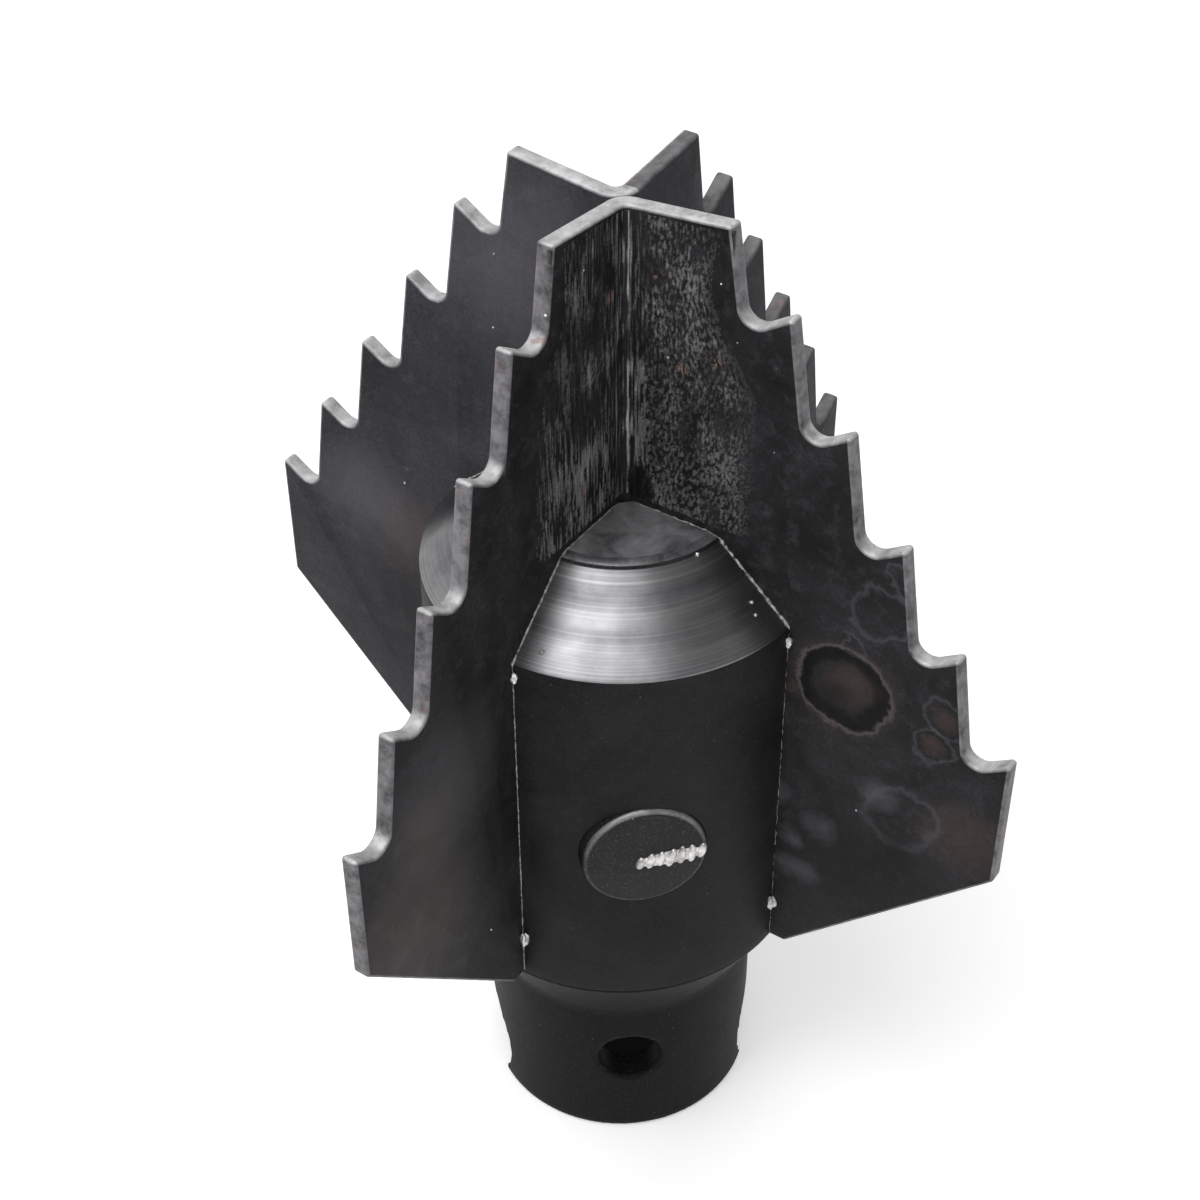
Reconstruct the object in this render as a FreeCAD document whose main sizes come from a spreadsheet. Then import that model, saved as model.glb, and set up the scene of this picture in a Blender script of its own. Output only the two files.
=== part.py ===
import FreeCAD, Part
import math
import os
import Sketcher

# Earth auger bit: two bent wing plates stand back to back on a drive socket, and four turned nose
# blocks fill the quarters between the wings. The origin is the centre of the socket's bottom face,
# +Z runs up the axis to the first teeth, and the front quarter opens towards -Y.

doc = FreeCAD.newDocument("EarthAugerBit")
sheet = doc.addObject("Spreadsheet::Sheet", "Dimensions")

# Lengths in millimetres, angles in degrees, heights above the socket's bottom face
driving_dimensions = [
    ("plate_thickness", 5.0, "wing plate, hot rolled"),
    ("outer_bend_radius", 7.0, "outside radius of the right-angle bend"),
    ("back_gap", 0.2, "gap between the backs of the two bends"),
    ("tooth_count", 6, "teeth on each wing"),
    ("first_tip_radius", 34.0, "axis to the tip of the innermost tooth"),
    ("gauge_radius", 125.0, "axis to the tip of the outermost tooth, half the bored hole"),
    ("first_tip_height", 324.0, "tip of the innermost tooth"),
    ("first_tip_drop", 20.0, "from the first tip down to the second"),
    ("tip_drop", 28.2, "from each later tip down to the next"),
    ("centre_dip", 3.0, "top edge at the bend, below the first tip"),
    ("flank_angle", 8.5, "outer flank of a tooth, from vertical"),
    ("rake_angle", 33.0, "top of a tooth, down towards the axis"),
    ("gullet_radius", 4.5, "round at the root between two teeth"),
    ("tip_round", 1.0, "worn round on each tip"),
    ("gauge_foot_height", 147.5, "lower outer corner of a wing"),
    ("skirt_angle", 45.0, "lower edge of a wing, from horizontal"),
    ("hub_radius", 57.0, "turned outside of the nose blocks"),
    ("hub_bottom_height", 84.5, "underside of blocks and plates"),
    ("cone_base_height", 208.0, "where the block's cylinder turns into its cone"),
    ("cone_top_radius", 34.0, "upper end of the cone"),
    ("cone_top_height", 228.7, "upper end of the cone"),
    ("nose_flat_radius", 31.0, "flat top inside the narrow ring band"),
    ("nose_top_height", 229.6, "flat top of the blocks"),
    ("fit_gap", 0.1, "joint gap between neighbouring pieces"),
    ("corner_relief", 3.0, "chamfer on a block's corner at the axis"),
    ("plug_diameter", 36.0, "round plug in each block"),
    ("plug_height", 142.8, "plug centre"),
    ("plug_side_offset", 4.5, "plug centre beside the block's middle"),
    ("plug_bore_floor", 32.0, "axis to the floor of the plug bore"),
    ("plug_stand", 0.8, "plug's flat end beyond the hub radius"),
    ("plug_chamfer", 1.0, "edge of the plug's flat end"),
    ("socket_radius", 42.3, "outside of the drive socket"),
    ("bore_radius", 32.5, "bore for the drive shaft"),
    ("bore_depth", 62.0, "depth of that bore"),
    ("neck_height", 59.0, "lower end of the socket's conical shoulder"),
    ("mouth_chamfer", 1.5, "chamfers at the socket's mouth"),
    ("pin_hole_diameter", 19.5, "cross hole for the drive pin"),
    ("pin_hole_height", 35.0, "centre of that hole"),
    ("pin_hole_turn", -7.0, "pin hole's axis, turned from the front about +Z"),
    ("side_cut_diameter", 36.0, "round cut through both side walls, open at the mouth"),
    ("side_cut_height", 12.0, "centre of the side cuts"),
    ("spine_weld_top", 316.0, "upper end of the weld in the gap between the bends"),
    ("spine_weld_leg", 3.2, "how far that weld runs out along each wing"),
    ("spine_weld_root", 2.2, "axis to the inner end of that weld"),
    ("tack_leg", 3.0, "leg of the small tack welds"),
    ("tack_length", 7.0, "length of the small tack welds"),
    ("upper_tack_drop", 8.0, "upper tacks, below the cone's base"),
    ("lower_tack_rise", 12.0, "lower tacks, above the blocks' underside"),
]
for row, (alias, number, note) in enumerate(driving_dimensions, start=1):
    sheet.set("A%d" % row, alias)
    sheet.set("B%d" % row, str(number))
    sheet.setAlias("B%d" % row, alias)
    sheet.set("C%d" % row, note)
doc.recompute()

size = {alias: float(sheet.get(alias)) for alias, number, note in driving_dimensions}
teeth = int(size["tooth_count"])


def cell(formula):
    """Point every size named in a formula at its cell of the sheet."""
    words = formula.split()
    return " ".join("Dimensions." + word if word in size else word for word in words)


def tangent(degrees):
    return math.tan(math.radians(degrees))


# Sizes worked out from the driving ones: each has its number here and its formula for the sheet
tip_step = (size["gauge_radius"] - size["first_tip_radius"]) / (teeth - 1)
tip_step_formula = "( gauge_radius - first_tip_radius ) / ( tooth_count - 1 )"
plate_shift = size["plate_thickness"] / 2
plate_shift -= (1 - math.sqrt(0.5)) * size["outer_bend_radius"]
plate_shift += size["back_gap"] * math.sqrt(0.125)
plate_shift_formula = (
    "( plate_thickness / 2 - ( 1 - sqrt(0.5) ) * outer_bend_radius + back_gap * sqrt(0.125) )"
)
bend_centre = plate_shift - size["plate_thickness"] / 2 + size["outer_bend_radius"]
bend_centre_formula = "( " + plate_shift_formula + " - plate_thickness / 2 + outer_bend_radius )"
centre_top = size["first_tip_height"] - size["centre_dip"]


def origin_plane(body, role):
    """The body's own origin plane of that role."""
    return next(plane for plane in body.Origin.OriginFeatures if plane.Role == role)


def new_body(name):
    body = doc.addObject("PartDesign::Body", name)
    body.Label = name
    return body


def new_sketch(body, name, role):
    sketch = body.newObject("Sketcher::SketchObject", name)
    sketch.AttachmentSupport = [(origin_plane(body, role), "")]
    sketch.MapMode = "FlatFace"
    return sketch


def closed_outline(sketch, corners):
    """Straight-sided outline; each corner is (x, y, x formula, y formula) from the sketch's origin."""
    for index, corner in enumerate(corners):
        following = corners[(index + 1) % len(corners)]
        start = FreeCAD.Vector(corner[0], corner[1], 0)
        end = FreeCAD.Vector(following[0], following[1], 0)
        sketch.addGeometry(Part.LineSegment(start, end), False)
    for index in range(len(corners)):
        following = (index + 1) % len(corners)
        sketch.addConstraint(Sketcher.Constraint("Coincident", index, 2, following, 1))
    for index, corner in enumerate(corners):
        for axis, number, formula in (("X", corner[0], corner[2]), ("Y", corner[1], corner[3])):
            if formula == "0":
                on_axis = -2 if axis == "X" else -1
                sketch.addConstraint(Sketcher.Constraint("PointOnObject", index, 1, on_axis))
                continue
            place = sketch.addConstraint(
                Sketcher.Constraint("Distance" + axis, -1, 1, index, 1, number)
            )
            sketch.setExpression("Constraints[%d]" % place, cell(formula))


def pad(body, name, sketch, length_formula, symmetric=False):
    feature = body.newObject("PartDesign::Pad", name)
    feature.Profile = sketch
    if symmetric:
        feature.SideType = "Symmetric"
    feature.setExpression("Length", cell(length_formula))
    doc.recompute()
    return feature


def corner_edges(shape, corners, across):
    """Names of the short edges that run through the plate at these outline corners."""
    names = []
    for number, edge in enumerate(shape.Edges, start=1):
        if len(edge.Vertexes) != 2 or abs(edge.Length - size["plate_thickness"]) > 0.001:
            continue
        middle = edge.CenterOfMass
        reach = middle.y if across == "X" else middle.x
        if any(math.hypot(reach - x, middle.z - z) < 0.01 for x, z in corners):
            names.append("Edge%d" % number)
    return names


# Wing outline: reach out from the axis and height, from the foot round by the teeth to the bend
def tip_number(index):
    reach = size["first_tip_radius"] + index * tip_step
    height = size["first_tip_height"]
    if index > 0:
        height -= size["first_tip_drop"] + (index - 1) * size["tip_drop"]
    return reach, height


def tip_formula(index):
    reach = "( first_tip_radius + %d * %s )" % (index, tip_step_formula)
    if index == 0:
        return reach, "first_tip_height"
    return reach, "( first_tip_height - first_tip_drop - %d * tip_drop )" % (index - 1)


def root_number(index):
    """Sharp root between tooth index and the next one out."""
    inner_reach, inner_height = tip_number(index)
    outer_reach, outer_height = tip_number(index + 1)
    flank = tangent(size["flank_angle"])
    rake = tangent(size["rake_angle"])
    fall = inner_height - outer_height + (outer_reach - inner_reach) * rake
    reach = inner_reach + fall * flank / (1 + rake * flank)
    return reach, outer_height - (outer_reach - reach) * rake


def root_formula(index):
    inner_reach, inner_height = tip_formula(index)
    outer_reach, outer_height = tip_formula(index + 1)
    drop = "first_tip_drop" if index == 0 else "tip_drop"
    fall = "( %s + %s * tan( rake_angle ) )" % (drop, tip_step_formula)
    growth = "( 1 + tan( rake_angle ) * tan( flank_angle ) )"
    reach = "( %s + %s * tan( flank_angle ) / %s )" % (inner_reach, fall, growth)
    height = "( %s - ( %s - %s ) * tan( rake_angle ) )" % (outer_height, outer_reach, reach)
    return reach, height


def wing_corners():
    foot_rise = size["gauge_foot_height"] - size["hub_bottom_height"]
    foot_reach = size["gauge_radius"] - foot_rise / tangent(size["skirt_angle"])
    foot_reach_formula = (
        "( gauge_radius - ( gauge_foot_height - hub_bottom_height ) / tan( skirt_angle ) )"
    )
    corners = [
        (bend_centre, size["hub_bottom_height"], bend_centre_formula, "hub_bottom_height"),
        (foot_reach, size["hub_bottom_height"], foot_reach_formula, "hub_bottom_height"),
        (size["gauge_radius"], size["gauge_foot_height"], "gauge_radius", "gauge_foot_height"),
    ]
    for index in reversed(range(teeth)):
        corners.append(tip_number(index) + tip_formula(index))
        if index > 0:
            corners.append(root_number(index - 1) + root_formula(index - 1))
    corners.append((bend_centre, centre_top, bend_centre_formula, "first_tip_height - centre_dip"))
    return corners


def wing_plate(name, turn):
    """One plate bent at a right angle: wings along +X and +Y before the plate is turned."""
    body = new_body(name)
    for role, sign in (("XZ_Plane", "-"), ("YZ_Plane", "")):
        outline = new_sketch(body, "%s_outline_%s" % (name, role[:2]), role)
        closed_outline(outline, wing_corners())
        outline.setExpression("AttachmentOffset.Base.z", cell(sign + " 1 * " + plate_shift_formula))
        pad(body, "%s_wing_%s" % (name, role[:2]), outline, "plate_thickness", symmetric=True)

    bend = new_sketch(body, name + "_bend_section", "XY_Plane")
    centre = FreeCAD.Vector(bend_centre, bend_centre, 0)
    inner_radius = size["outer_bend_radius"] - size["plate_thickness"]
    for radius in (size["outer_bend_radius"], inner_radius):
        circle = Part.Circle(centre, FreeCAD.Vector(0, 0, 1), radius)
        bend.addGeometry(Part.ArcOfCircle(circle, math.pi, 1.5 * math.pi), False)
    for angle in (math.pi, 1.5 * math.pi):
        direction = FreeCAD.Vector(math.cos(angle), math.sin(angle), 0)
        start = centre + direction * size["outer_bend_radius"]
        end = centre + direction * inner_radius
        bend.addGeometry(Part.LineSegment(start, end), False)
    for line, arc_end in ((2, 1), (3, 2)):
        bend.addConstraint(Sketcher.Constraint("Coincident", line, 1, 0, arc_end))
        bend.addConstraint(Sketcher.Constraint("Coincident", line, 2, 1, arc_end))
    bend.addConstraint(Sketcher.Constraint("Coincident", 0, 3, 1, 3))
    bend.addConstraint(Sketcher.Constraint("Horizontal", 2))
    bend.addConstraint(Sketcher.Constraint("Vertical", 3))
    bend.addConstraint(Sketcher.Constraint("PointOnObject", 0, 3, 2))
    for axis in ("X", "Y"):
        place = bend.addConstraint(
            Sketcher.Constraint("Distance" + axis, -1, 1, 0, 3, bend_centre)
        )
        bend.setExpression("Constraints[%d]" % place, cell(bend_centre_formula))
    place = bend.addConstraint(Sketcher.Constraint("Radius", 0, size["outer_bend_radius"]))
    bend.setExpression("Constraints[%d]" % place, cell("outer_bend_radius"))
    place = bend.addConstraint(Sketcher.Constraint("Radius", 1, inner_radius))
    bend.setExpression("Constraints[%d]" % place, cell("outer_bend_radius - plate_thickness"))
    bend.setExpression("AttachmentOffset.Base.z", cell("hub_bottom_height"))
    base = pad(body, name + "_bend", bend, "first_tip_height - centre_dip - hub_bottom_height")

    tips = [tip_number(index) for index in range(teeth)]
    roots = [root_number(index) for index in range(teeth - 1)]
    for label, corners, radius in (("gullets", roots, "gullet_radius"), ("tips", tips, "tip_round")):
        edges = corner_edges(base.Shape, corners, "X") + corner_edges(base.Shape, corners, "Y")
        rounds = body.newObject("PartDesign::Fillet", "%s_%s" % (name, label))
        rounds.Base = (base, edges)
        rounds.setExpression("Radius", cell(radius))
        doc.recompute()
        base = rounds
    body.Placement = FreeCAD.Placement(
        FreeCAD.Vector(0, 0, 0), FreeCAD.Rotation(FreeCAD.Vector(0, 0, 1), turn)
    )
    return body


def wing_face_offset(inside_bend):
    """Distance from a wing's radial plane to the face that a block sits against."""
    if inside_bend:
        return plate_shift + size["plate_thickness"] / 2
    return size["plate_thickness"] / 2 - plate_shift


def wing_face_formula(inside_bend):
    if inside_bend:
        return "( " + plate_shift_formula + " + plate_thickness / 2 )"
    return "( plate_thickness / 2 - " + plate_shift_formula + " )"


def nose_block(name, turn, inside_bend):
    """Quarter of a round bar, turned to a cone at its top and bored for its plug."""
    body = new_body(name)
    side = wing_face_offset(inside_bend) + size["fit_gap"]
    side_formula = wing_face_formula(inside_bend) + " + fit_gap"
    reach = math.sqrt(size["hub_radius"] ** 2 - side ** 2)
    relief = side + size["corner_relief"]
    quarter = new_sketch(body, name + "_quarter", "XY_Plane")
    circle = Part.Circle(FreeCAD.Vector(0, 0, 0), FreeCAD.Vector(0, 0, 1), size["hub_radius"])
    lean = math.asin(side / size["hub_radius"])
    points = [
        FreeCAD.Vector(side, reach, 0),
        FreeCAD.Vector(side, relief, 0),
        FreeCAD.Vector(relief, side, 0),
        FreeCAD.Vector(reach, side, 0),
    ]
    quarter.addGeometry(Part.ArcOfCircle(circle, lean, math.pi / 2 - lean), False)
    for start, end in zip(points, points[1:]):
        quarter.addGeometry(Part.LineSegment(start, end), False)
    quarter.addConstraint(Sketcher.Constraint("Coincident", 0, 3, -1, 1))
    quarter.addConstraint(Sketcher.Constraint("Coincident", 0, 2, 1, 1))
    quarter.addConstraint(Sketcher.Constraint("Coincident", 1, 2, 2, 1))
    quarter.addConstraint(Sketcher.Constraint("Coincident", 2, 2, 3, 1))
    quarter.addConstraint(Sketcher.Constraint("Coincident", 3, 2, 0, 1))
    quarter.addConstraint(Sketcher.Constraint("Vertical", 1))
    quarter.addConstraint(Sketcher.Constraint("Horizontal", 3))
    driven = [
        (Sketcher.Constraint("Radius", 0, size["hub_radius"]), "hub_radius"),
        (Sketcher.Constraint("DistanceX", -1, 1, 1, 2, side), side_formula),
        (Sketcher.Constraint("DistanceY", -1, 1, 3, 1, side), side_formula),
        (Sketcher.Constraint("DistanceY", -1, 1, 1, 2, relief), side_formula + " + corner_relief"),
        (Sketcher.Constraint("DistanceX", -1, 1, 3, 1, relief), side_formula + " + corner_relief"),
    ]
    for constraint, formula in driven:
        place = quarter.addConstraint(constraint)
        quarter.setExpression("Constraints[%d]" % place, cell(formula))
    quarter.setExpression("AttachmentOffset.Base.z", cell("hub_bottom_height"))
    pad(body, name + "_bar", quarter, "nose_top_height - hub_bottom_height")

    waste = new_sketch(body, name + "_turned_waste", "XZ_Plane")
    clear = size["hub_radius"] + size["mouth_chamfer"]
    clear_formula = "hub_radius + mouth_chamfer"
    above = size["nose_top_height"] + size["mouth_chamfer"]
    above_formula = "nose_top_height + mouth_chamfer"
    closed_outline(waste, [
        (size["hub_radius"], size["cone_base_height"], "hub_radius", "cone_base_height"),
        (clear, size["cone_base_height"], clear_formula, "cone_base_height"),
        (clear, above, clear_formula, above_formula),
        (size["nose_flat_radius"], above, "nose_flat_radius", above_formula),
        (size["nose_flat_radius"], size["nose_top_height"], "nose_flat_radius", "nose_top_height"),
        (size["cone_top_radius"], size["cone_top_height"], "cone_top_radius", "cone_top_height"),
    ])
    turning = body.newObject("PartDesign::Groove", name + "_cone")
    turning.Profile = waste
    turning.ReferenceAxis = (waste, ["V_Axis"])
    turning.Angle = 360
    doc.recompute()

    bore = body.newObject("PartDesign::SubtractiveCylinder", name + "_plug_bore")
    bore.AttachmentSupport = [(origin_plane(body, "XY_Plane"), "")]
    bore.MapMode = "FlatFace"
    bore.setExpression("Radius", cell("plug_diameter / 2 + fit_gap"))
    bore.setExpression("Height", cell("hub_radius"))
    along = FreeCAD.Vector(1, 1, 0).normalize()
    bore.AttachmentOffset = FreeCAD.Placement(
        FreeCAD.Vector(0, 0, 0), FreeCAD.Rotation(FreeCAD.Vector(0, 0, 1), along)
    )
    bore.setExpression(
        "AttachmentOffset.Base.x", cell("( plug_bore_floor + plug_side_offset ) * sqrt(0.5)")
    )
    bore.setExpression(
        "AttachmentOffset.Base.y", cell("( plug_bore_floor - plug_side_offset ) * sqrt(0.5)")
    )
    bore.setExpression("AttachmentOffset.Base.z", cell("plug_height"))
    doc.recompute()
    body.Placement = FreeCAD.Placement(
        FreeCAD.Vector(0, 0, 0), FreeCAD.Rotation(FreeCAD.Vector(0, 0, 1), turn)
    )
    return body


def circle_sketch(body, name, radius_formula, radius):
    sketch = new_sketch(body, name, "XY_Plane")
    circle = Part.Circle(FreeCAD.Vector(0, 0, 0), FreeCAD.Vector(0, 0, 1), radius)
    sketch.addGeometry(circle, False)
    sketch.addConstraint(Sketcher.Constraint("Coincident", 0, 3, -1, 1))
    place = sketch.addConstraint(Sketcher.Constraint("Radius", 0, radius))
    sketch.setExpression("Constraints[%d]" % place, cell(radius_formula))
    return sketch


def block_plug(name, turn):
    """Round plug, its axis along the middle of its block and its flat end outwards."""
    body = new_body(name)
    section = circle_sketch(body, name + "_section", "plug_diameter / 2", size["plug_diameter"] / 2)
    length = "hub_radius + plug_stand - plug_bore_floor - fit_gap"
    bar = pad(body, name + "_bar", section, length)
    far = max(edge.CenterOfMass.z for edge in bar.Shape.Edges if len(edge.Vertexes) == 1)
    rim = [
        "Edge%d" % number
        for number, edge in enumerate(bar.Shape.Edges, start=1)
        if len(edge.Vertexes) == 1 and edge.CenterOfMass.z > far - 0.01
    ]
    chamfer = body.newObject("PartDesign::Chamfer", name + "_edge")
    chamfer.Base = (bar, rim)
    chamfer.setExpression("Size", cell("plug_chamfer"))
    doc.recompute()
    outward = FreeCAD.Vector(math.cos(math.radians(turn)), math.sin(math.radians(turn)), 0)
    clockwise = FreeCAD.Vector(outward.y, -outward.x, 0)
    foot = outward * (size["plug_bore_floor"] + size["fit_gap"])
    foot += clockwise * size["plug_side_offset"]
    foot.z = size["plug_height"]
    body.Placement = FreeCAD.Placement(foot, FreeCAD.Rotation(FreeCAD.Vector(0, 0, 1), outward))
    return body


def drive_socket(name):
    """Turned socket: conical shoulder, blind bore, cross hole for the pin, round cuts at the sides."""
    body = new_body(name)
    profile = new_sketch(body, name + "_profile", "XZ_Plane")
    chamfer = size["mouth_chamfer"]
    shoulder_top = size["hub_bottom_height"] - size["fit_gap"]
    shoulder_formula = "hub_bottom_height - fit_gap"
    closed_outline(profile, [
        (size["bore_radius"] + chamfer, 0, "bore_radius + mouth_chamfer", "0"),
        (size["socket_radius"] - chamfer, 0, "socket_radius - mouth_chamfer", "0"),
        (size["socket_radius"], chamfer, "socket_radius", "mouth_chamfer"),
        (size["socket_radius"], size["neck_height"], "socket_radius", "neck_height"),
        (size["hub_radius"], shoulder_top, "hub_radius", shoulder_formula),
        (0, shoulder_top, "0", shoulder_formula),
        (0, size["bore_depth"], "0", "bore_depth"),
        (size["bore_radius"], size["bore_depth"], "bore_radius", "bore_depth"),
        (size["bore_radius"], chamfer, "bore_radius", "mouth_chamfer"),
    ])
    turned = body.newObject("PartDesign::Revolution", name + "_turned")
    turned.Profile = profile
    turned.ReferenceAxis = (profile, ["V_Axis"])
    turned.Angle = 360
    doc.recompute()

    cuts = [
        ("pin_hole", "XZ_Plane", "pin_hole_height", "pin_hole_diameter"),
        ("side_cut", "YZ_Plane", "side_cut_height", "side_cut_diameter"),
    ]
    for label, role, height, diameter in cuts:
        outline = new_sketch(body, "%s_%s" % (name, label), role)
        centre = FreeCAD.Vector(0, size[height], 0)
        circle = Part.Circle(centre, FreeCAD.Vector(0, 0, 1), size[diameter] / 2)
        outline.addGeometry(circle, False)
        outline.addConstraint(Sketcher.Constraint("PointOnObject", 0, 3, -2))
        place = outline.addConstraint(Sketcher.Constraint("DistanceY", -1, 1, 0, 3, size[height]))
        outline.setExpression("Constraints[%d]" % place, cell(height))
        place = outline.addConstraint(Sketcher.Constraint("Radius", 0, size[diameter] / 2))
        outline.setExpression("Constraints[%d]" % place, cell(diameter + " / 2"))
        through = body.newObject("PartDesign::Pocket", "%s_%s_cut" % (name, label))
        through.Profile = outline
        through.SideType = "Symmetric"
        through.setExpression("Length", cell("hub_radius * 2"))
        doc.recompute()
    body.Placement = FreeCAD.Placement(
        FreeCAD.Vector(0, 0, 0),
        FreeCAD.Rotation(FreeCAD.Vector(0, 0, 1), size["pin_hole_turn"]),
    )
    return body


def spine_weld(name, turn):
    """Weld in the narrow gap beside the axis, between the backs of the two bends."""
    gap = size["fit_gap"]
    hollow = size["outer_bend_radius"] + gap
    back = size["outer_bend_radius"] + size["back_gap"] / 2
    lean = math.acos(size["spine_weld_root"] / hollow)
    slope = math.sqrt(0.5)
    edges = []
    for side in (1, -1):
        centre = FreeCAD.Vector(0, side * back, 0)
        root = FreeCAD.Vector(hollow * math.cos(lean), side * (back - hollow * math.sin(lean)), 0)
        middle_angle = (lean + math.pi / 4) / 2
        middle = FreeCAD.Vector(
            hollow * math.cos(middle_angle), side * (back - hollow * math.sin(middle_angle)), 0
        )
        tangent_point = FreeCAD.Vector(hollow * slope, side * (back - hollow * slope), 0)
        toe = tangent_point + FreeCAD.Vector(slope, side * slope, 0) * size["spine_weld_leg"]
        edges.append((centre, root, middle, tangent_point, toe))
    upper, lower = edges
    face_middle = FreeCAD.Vector((upper[4].x + upper[3].x) / 2, 0, 0)
    wire = Part.Wire([
        Part.LineSegment(lower[1], upper[1]).toShape(),
        Part.Arc(upper[1], upper[2], upper[3]).toShape(),
        Part.LineSegment(upper[3], upper[4]).toShape(),
        Part.Arc(upper[4], face_middle, lower[4]).toShape(),
        Part.LineSegment(lower[4], lower[3]).toShape(),
        Part.Arc(lower[3], lower[2], lower[1]).toShape(),
    ])
    bottom = size["nose_top_height"] + gap
    section = Part.Face(wire)
    section.translate(FreeCAD.Vector(0, 0, bottom))
    bead = doc.addObject("Part::Feature", name)
    bead.Label = name
    bead.Shape = section.extrude(FreeCAD.Vector(0, 0, size["spine_weld_top"] - bottom))
    bead.Placement = FreeCAD.Placement(
        FreeCAD.Vector(0, 0, 0), FreeCAD.Rotation(FreeCAD.Vector(0, 0, 1), turn)
    )
    return bead


def tack_weld(side, bottom):
    """Small fillet weld with rounded ends, in the corner between a wing and a block's outside."""
    leg = size["tack_leg"]
    corner = FreeCAD.Vector(math.sqrt(size["hub_radius"] ** 2 - side ** 2), side, bottom)
    corner += FreeCAD.Vector(size["fit_gap"], size["fit_gap"], 0)
    along = corner + FreeCAD.Vector(leg, 0, 0)
    up = corner + FreeCAD.Vector(0, leg, 0)
    crown = corner + FreeCAD.Vector(leg, leg, 0) * 0.6
    wire = Part.Wire([
        Part.LineSegment(corner, along).toShape(),
        Part.Arc(along, crown, up).toShape(),
        Part.LineSegment(up, corner).toShape(),
    ])
    return Part.Face(wire).extrude(FreeCAD.Vector(0, 0, size["tack_length"]))


# Each quarter's first wing stands at 45 degrees more than a multiple of 90; the front and rear
# quarters lie inside the two bends
quarters = []
for index, quarter_name in enumerate(("rear", "left", "front", "right")):
    quarters.append((quarter_name, 90 * index + 45, index % 2 == 0))


def tack_welds(name, bottom):
    """A row of tacks round the hub: one at each side of each block."""
    tacks = []
    for quarter_name, turn, inside_bend in quarters:
        tack = tack_weld(wing_face_offset(inside_bend), bottom)
        facing = tack.mirror(FreeCAD.Vector(0, 0, 0), FreeCAD.Vector(1, -1, 0))
        for solid in (tack, facing):
            solid.rotate(FreeCAD.Vector(0, 0, 0), FreeCAD.Vector(0, 0, 1), turn)
            tacks.append(solid)
    group = doc.addObject("Part::Feature", name)
    group.Label = name
    group.Shape = Part.makeCompound(tacks)
    return group


pieces = [wing_plate("front_wing_plate", 180 + 45), wing_plate("rear_wing_plate", 45)]
for quarter_name, turn, inside_bend in quarters:
    pieces.append(nose_block("nose_block_" + quarter_name, turn, inside_bend))
    pieces.append(block_plug("block_plug_" + quarter_name, turn + 45))
pieces.append(drive_socket("drive_socket"))
pieces.append(spine_weld("spine_weld_right", 0))
pieces.append(spine_weld("spine_weld_left", 180))
upper_tack_bottom = size["cone_base_height"] - size["upper_tack_drop"]
pieces.append(tack_welds("upper_tack_welds", upper_tack_bottom))
lower_tack_bottom = size["hub_bottom_height"] + size["lower_tack_rise"]
pieces.append(tack_welds("lower_tack_welds", lower_tack_bottom))

doc.recompute()
for item in doc.Objects:
    if "Invalid" in item.State or "Error" in item.State:
        raise RuntimeError("%s could not be built: %s" % (item.Name, item.State))
for piece in pieces:
    if piece.Shape.isNull() or not piece.Shape.isValid():
        raise RuntimeError("%s has no valid shape" % piece.Label)

os.makedirs("parts", exist_ok=True)
for piece in pieces:
    piece.Shape.exportStep("parts/%s.step" % piece.Label)
    box = piece.Shape.BoundBox
    print("%-18s %d solid(s) %10.0f mm3  x %6.1f..%6.1f  y %6.1f..%6.1f  z %6.1f..%6.1f" % (
        piece.Label, len(piece.Shape.Solids), piece.Shape.Volume,
        box.XMin, box.XMax, box.YMin, box.YMax, box.ZMin, box.ZMax,
    ))
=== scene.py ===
import bmesh
import bpy
import math
import random
from mathutils import Matrix, Vector, noise


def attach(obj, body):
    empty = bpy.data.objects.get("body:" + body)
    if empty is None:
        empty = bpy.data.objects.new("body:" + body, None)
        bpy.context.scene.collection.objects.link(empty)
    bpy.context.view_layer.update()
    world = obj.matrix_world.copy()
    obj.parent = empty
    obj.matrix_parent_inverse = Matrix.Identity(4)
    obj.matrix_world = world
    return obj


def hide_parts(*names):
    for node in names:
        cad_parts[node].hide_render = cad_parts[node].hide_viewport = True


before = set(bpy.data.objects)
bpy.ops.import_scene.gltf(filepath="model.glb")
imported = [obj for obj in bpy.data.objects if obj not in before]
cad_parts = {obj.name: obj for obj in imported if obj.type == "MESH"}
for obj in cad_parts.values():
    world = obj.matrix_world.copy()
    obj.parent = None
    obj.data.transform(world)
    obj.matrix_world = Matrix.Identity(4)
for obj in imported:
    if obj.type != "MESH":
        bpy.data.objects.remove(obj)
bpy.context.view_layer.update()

mm = 0.001
mergeWithin, flatWithin = 0.002, 0.4     # mm and degrees, for the copies of CAD nodes
closeTo = 0.01                           # mm, when edges are chosen by their place
print("frame loaded")


def srgb(code):
    parts = [int(code[i:i + 2], 16) / 255 for i in (1, 3, 5)]
    linear = [c / 12.92 if c <= 0.04045 else ((c + 0.055) / 1.055) ** 2.4 for c in parts]
    return (*linear, 1.0)


def shownOutput(value):
    # a node stands for the first output that it shows
    if isinstance(value, bpy.types.Node):
        return next(socket for socket in value.outputs if socket.enabled)
    return value


def addNode(tree, kind, inputs=None, stops=None, **settings):
    node = tree.nodes.new("ShaderNode" + kind)
    for name, value in settings.items():
        setattr(node, name, value)
    for name, value in (inputs or {}).items():
        value = shownOutput(value)
        if isinstance(value, bpy.types.NodeSocket):
            tree.links.new(value, node.inputs[name])
        else:
            node.inputs[name].default_value = value
    if stops:
        ramp = node.color_ramp
        while len(ramp.elements) < len(stops):
            ramp.elements.new(0.5)
        for element, (place, colour) in zip(ramp.elements, stops):
            element.position = place
            element.color = srgb(colour)
    return node


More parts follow.
